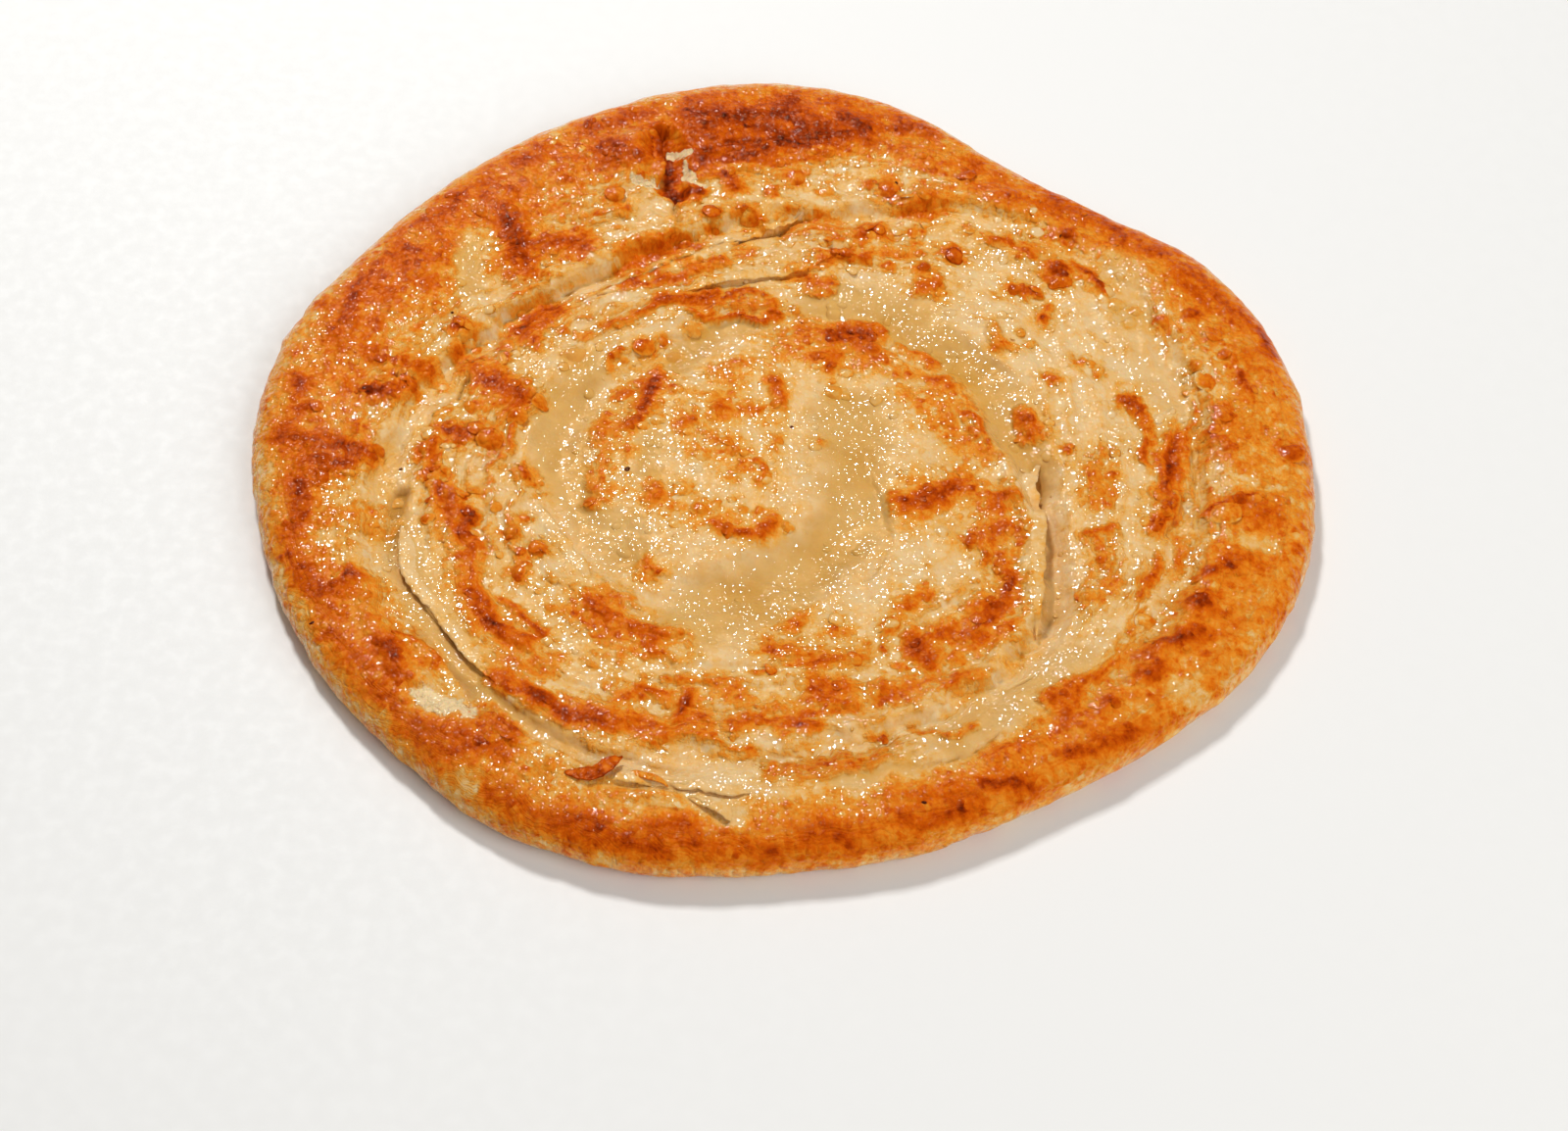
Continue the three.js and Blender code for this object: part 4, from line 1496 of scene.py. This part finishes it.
def blister_tree(name, material):
    """Geometry Nodes that put a flattened bubble on every vertex, finer ones with fewer faces."""
    tree = bpy.data.node_groups.new(name, "GeometryNodeTree")
    tree.interface.new_socket("Geometry", in_out="INPUT", socket_type="NodeSocketGeometry")
    dome = tree.interface.new_socket("Dome height", in_out="INPUT", socket_type="NodeSocketFloat")
    tallest = tree.interface.new_socket("Tallest", in_out="INPUT", socket_type="NodeSocketFloat")
    limit = tree.interface.new_socket("Fine below", in_out="INPUT", socket_type="NodeSocketFloat")
    tree.interface.new_socket("Geometry", in_out="OUTPUT", socket_type="NodeSocketGeometry")
    given = add_node(tree, "NodeGroupInput").outputs
    size = stored_value(tree, "diameter", "FLOAT")
    wide = random_value(tree, *BLISTER_STRETCH, 6)
    height = math_node(tree, "MINIMUM", product(tree, size, given["Dome height"]), given["Tallest"])
    sides = {0: product(tree, size, wide), 1: math_node(tree, "DIVIDE", size, wide), 2: height}
    scale = add_node(tree, "ShaderNodeCombineXYZ", sides).outputs[0]
    turn = add_node(tree, "ShaderNodeCombineXYZ", {2: random_value(tree, 0.0, TAU, 5)}).outputs[0]
    upright = {"Rotation": turn, "Vector": stored_value(tree, "upright", "FLOAT_VECTOR")}
    rotation = add_node(tree, "FunctionNodeAlignRotationToVector", upright, axis="Z").outputs[0]
    widths = {0: size, 1: given["Fine below"]}
    fine = add_node(tree, "FunctionNodeCompare", widths, data_type="FLOAT", operation="LESS_THAN").outputs[0]
    large = add_node(tree, "FunctionNodeBooleanMath", {0: fine}, operation="NOT").outputs[0]
    joined = add_node(tree, "GeometryNodeJoinGeometry")
    for chosen, detail in ((large, 3), (fine, 2)):
        sockets = {
            "Points": given["Geometry"],
            "Selection": chosen,
            "Instance": bubble_mesh(tree, detail),
            "Rotation": rotation,
            "Scale": scale,
        }
        placed = add_node(tree, "GeometryNodeInstanceOnPoints", sockets)
        tree.links.new(placed.outputs[0], joined.inputs[0])
    bubbles = joined.outputs[0]
    for kind, sockets in (
        ("GeometryNodeRealizeInstances", {}),
        ("GeometryNodeSetPosition", {"Offset": wobble(tree)}),
        ("GeometryNodeSetMaterial", {"Material": material}),
    ):
        bubbles = add_node(tree, kind, {"Geometry": bubbles, **sockets}).outputs[0]
    add_node(tree, "NodeGroupOutput", {"Geometry": bubbles})
    return tree, {"dome": dome.identifier, "tallest": tallest.identifier, "limit": limit.identifier}


def bake_nodes(piece):
    """Turns a piece's Geometry Nodes into its plain mesh."""
    evaluated = piece.evaluated_get(bpy.context.evaluated_depsgraph_get())
    plain = bpy.data.meshes.new_from_object(evaluated)
    piece.modifiers.clear()
    piece.data = plain


def colour_property(name, description, code):
    return FloatVectorProperty(
        name=name, description=description, subtype="COLOR", size=3, min=0, max=1, default=srgb(code)
    )


def length_property(name, description, millimetres):
    return FloatProperty(name=name, description=description, unit="LENGTH", min=0, default=millimetres * MM)


class ParathaColours(bpy.types.PropertyGroup):
    """Colours of the dough from raw to burnt"""

    cream: colour_property("Cream", "Dough that barely coloured", "e9c58e")
    straw: colour_property("Straw", "Dough that dried without browning", "e8ae5a")
    pale_gold: colour_property("Pale gold", "Lightly fried dough", "eca444")
    gold: colour_property("Gold", "Golden crust", "e8912a")
    amber: colour_property("Amber", "Deep golden crust", "e27b16")
    orange: colour_property("Orange", "Orange-brown crust", "d56108")
    brown: colour_property("Brown", "Well browned crust", "bc4804")
    dark: colour_property("Dark brown", "The darkest patches", "942e02")
    burnt: colour_property("Burnt", "Specks and scorched points", "46140a")
    pool: colour_property("Wet dough", "Smooth dough that stayed wet", "d9a85c")
    pool_deep: colour_property("Deep wet dough", "Wet dough where it is thickest", "cf963e")
    crumb: colour_property("Crumb", "White inner layers", "f0d4a2")
    # Painted shade, the colour that cracks and the dough past the layers' edges take.
    crack: colour_property("Crack", "Shaded dough inside cracks", "c48a3c")
    glint: colour_property("Glint", "Light off browned crust", "ffc870")


class ParathaSizes(bpy.types.PropertyGroup):
    """Sizes of the layers and blisters"""

    layer: length_property("Layer", "Thickness of a lifted layer", 0.25)
    dome: FloatProperty(name="Dome", description="Blister height by width", subtype="FACTOR", default=0.34)
    tallest: length_property("Tallest", "Height of the largest blisters", 1.3)
    fine_count: IntProperty(name="Fine blisters", description="How many fine blisters", min=0, default=1500)
    fine_smallest: length_property("Smallest", "Smallest fine blister", 0.8)
    fine_largest: length_property("Largest", "Largest fine blister", 2.9)


class ParathaStage(bpy.types.PropertyGroup):
    """Floor and light"""

    floor: colour_property("Floor", "Colour of the floor", "f2f1ee")
    key: FloatProperty(name="Key light", description="Power of the main light", unit="POWER", default=6.7)
    fill: FloatProperty(name="Fill light", description="Power of the front light", unit="POWER", default=6.5)
    sky: FloatProperty(name="Sky", description="Strength of the light all round", default=0.24)


def finish_piece(piece):
    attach(piece, BODY)


class PARATHA_OT_crust(bpy.types.Operator):
    """Make the folded, browned crust in place of the plain solid"""

    bl_idname = "paratha.crust"
    bl_label = "Fry crust"

    def execute(self, context):
        x, y, faces, surface = crust_mesh_data()
        piece = make_object("paratha_crust", to_frame(x, y, surface.height), faces)
        store_surface(piece.data, surface)
        colours = context.scene.paratha_colours
        piece.data.materials.append(crust_material(CRUST_MATERIAL, colours, CRUST_SOFTNESS))
        finish_piece(piece)
        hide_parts(NODE)
        return {"FINISHED"}


class PARATHA_OT_layers(bpy.types.Operator):
    """Lift the edges of layers and the loose flakes"""

    bl_idname = "paratha.layers"
    bl_label = "Lift layers"

    def execute(self, context):
        thickness = context.scene.paratha_sizes.layer / MM
        points, faces, toast = layers_mesh_data(thickness)
        piece = make_object("paratha_layers", to_frame(*points.T), faces)
        store(piece.data, "toast", toast)
        colours = context.scene.paratha_colours
        piece.data.materials.append(crust_material(LAYER_MATERIAL, colours, LAYER_SOFTNESS))
        finish_piece(piece)
        return {"FINISHED"}


class PARATHA_OT_blisters(bpy.types.Operator):
    """Raise the fried blisters"""

    bl_idname = "paratha.blisters"
    bl_label = "Raise blisters"

    def execute(self, context):
        sizes = context.scene.paratha_sizes
        dots = blister_points(sizes.fine_count, sizes.fine_smallest / MM, sizes.fine_largest / MM)
        x, y, diameter, tone = dots.T
        height, upright = height_and_normal(x, y, BLISTER_SPAN)
        surface = read_surface(x, y)
        points = to_frame(x, y, height - BLISTER_SINK * diameter)
        piece = make_object("paratha_blisters", points, [])
        normals = piece.data.attributes.new("upright", "FLOAT_VECTOR", "POINT")
        normals.data.foreach_set("vector", upright.astype(np.float32).ravel())
        store(piece.data, "diameter", diameter * MM)
        # Blisters carry none of the painted shade.
        store_surface(piece.data, surface._replace(gap=surface.gap * 0))
        store(piece.data, "tone", tone - surface.toast)
        tree, sockets = blister_tree("fried blisters", bpy.data.materials[LAYER_MATERIAL])
        modifier = piece.modifiers.new("Blisters", "NODES")
        modifier.node_group = tree
        modifier[sockets["dome"]] = sizes.dome
        modifier[sockets["tallest"]] = sizes.tallest
        modifier[sockets["limit"]] = FINE_BELOW * MM
        bake_nodes(piece)
        finish_piece(piece)
        return {"FINISHED"}


def add_light(name, place, size, power):
    """A square soft light at a place in metres, turned towards the bread."""
    lamp = bpy.data.lights.new(name, "AREA")
    lamp.energy = power
    lamp.size = size
    light = bpy.data.objects.new(name, lamp)
    light.location = place
    light.rotation_euler = (-Vector(place)).to_track_quat("-Z", "Y").to_euler()
    bpy.context.scene.collection.objects.link(light)
    return light


def add_camera():
    """The photograph's camera."""
    lens = bpy.data.cameras.new("photo camera")
    lens.lens = CAMERA_LENS
    lens.sensor_width = SENSOR_WIDTH
    camera = bpy.data.objects.new("photo camera", lens)
    place = Vector(to_frame(*np.array(CAMERA_PLACE, float)))
    aim = Vector(to_frame(*np.array(CAMERA_AIM, float)))
    look = (aim - place).to_track_quat("-Z", "Y")
    roll = Quaternion((0, 0, 1), math.radians(CAMERA_ROLL))
    camera.location = place
    camera.rotation_euler = (look @ roll).to_euler()
    bpy.context.scene.collection.objects.link(camera)
    bpy.context.scene.camera = camera


def floor_material(colour):
    """A pale floor whose gloss is a little uneven."""
    material, tree, output = new_material("pale floor")
    place = add_node(tree, "ShaderNodeTexCoord").outputs["Object"]
    shade = remap(tree, noise_node(tree, place, 3, 2), 0.3, 0.7, 0.55, 0.7)
    sockets = {"Base Color": (*colour, 1), "Roughness": shade}
    shader = add_node(tree, "ShaderNodeBsdfPrincipled", sockets)
    tree.links.new(shader.outputs["BSDF"], output.inputs["Surface"])
    return material


def add_sky(strength):
    """Even light from all round, which the oil doesn't mirror."""
    world = bpy.data.worlds.new("studio")
    world.use_nodes = True
    bpy.context.scene.world = world
    background = world.node_tree.nodes["Background"].inputs
    background["Color"].default_value = SKY_COLOUR
    background["Strength"].default_value = strength
    world.cycles_visibility.glossy = False


class PARATHA_OT_stage(bpy.types.Operator):
    """Set up the floor, the lights and the camera"""

    bl_idname = "paratha.stage"
    bl_label = "Set stage"

    def execute(self, context):
        stage = context.scene.paratha_stage
        corners = FLOOR_REACH * np.array([(-1, -1, 0), (1, -1, 0), (1, 1, 0), (-1, 1, 0)], float)
        floor = make_object("floor", corners, [(0, 1, 2, 3)])
        floor.data.materials.append(floor_material(stage.floor))
        add_light("key light", KEY_PLACE, KEY_SIZE, stage.key)
        fill = add_light("fill light", FILL_PLACE, FILL_SIZE, stage.fill)
        fill.visible_glossy = False
        add_sky(stage.sky)
        context.scene.view_settings.view_transform = "Standard"
        add_camera()
        return {"FINISHED"}


class PARATHA_PT_bread(bpy.types.Panel):
    """Steps that make the bread, and its sizes and colours"""

    bl_label = "Paratha"
    bl_space_type = "VIEW_3D"
    bl_region_type = "UI"
    bl_category = "Paratha"

    def draw(self, context):
        for operator in OPERATORS:
            self.layout.operator(operator.bl_idname)
        for group in (getattr(context.scene, name) for name in GROUPS):
            box = self.layout.box()
            for name in group.bl_rna.properties.keys():
                if name not in ("rna_type", "name"):
                    box.prop(group, name)


OPERATORS = (PARATHA_OT_crust, PARATHA_OT_layers, PARATHA_OT_blisters, PARATHA_OT_stage)
GROUPS = {
    "paratha_colours": ParathaColours,
    "paratha_sizes": ParathaSizes,
    "paratha_stage": ParathaStage,
}


def register():
    for group in (*GROUPS.values(), *OPERATORS, PARATHA_PT_bread):
        bpy.utils.register_class(group)
    for name, group in GROUPS.items():
        setattr(bpy.types.Scene, name, PointerProperty(type=group))


def unregister():
    for name in GROUPS:
        delattr(bpy.types.Scene, name)
    for group in (PARATHA_PT_bread, *reversed(OPERATORS), *reversed(GROUPS.values())):
        bpy.utils.unregister_class(group)


def main():
    register()
    bpy.ops.paratha.crust()
    bpy.ops.paratha.layers()
    bpy.ops.paratha.blisters()
    bpy.ops.paratha.stage()


if __name__ == "__main__":
    main()
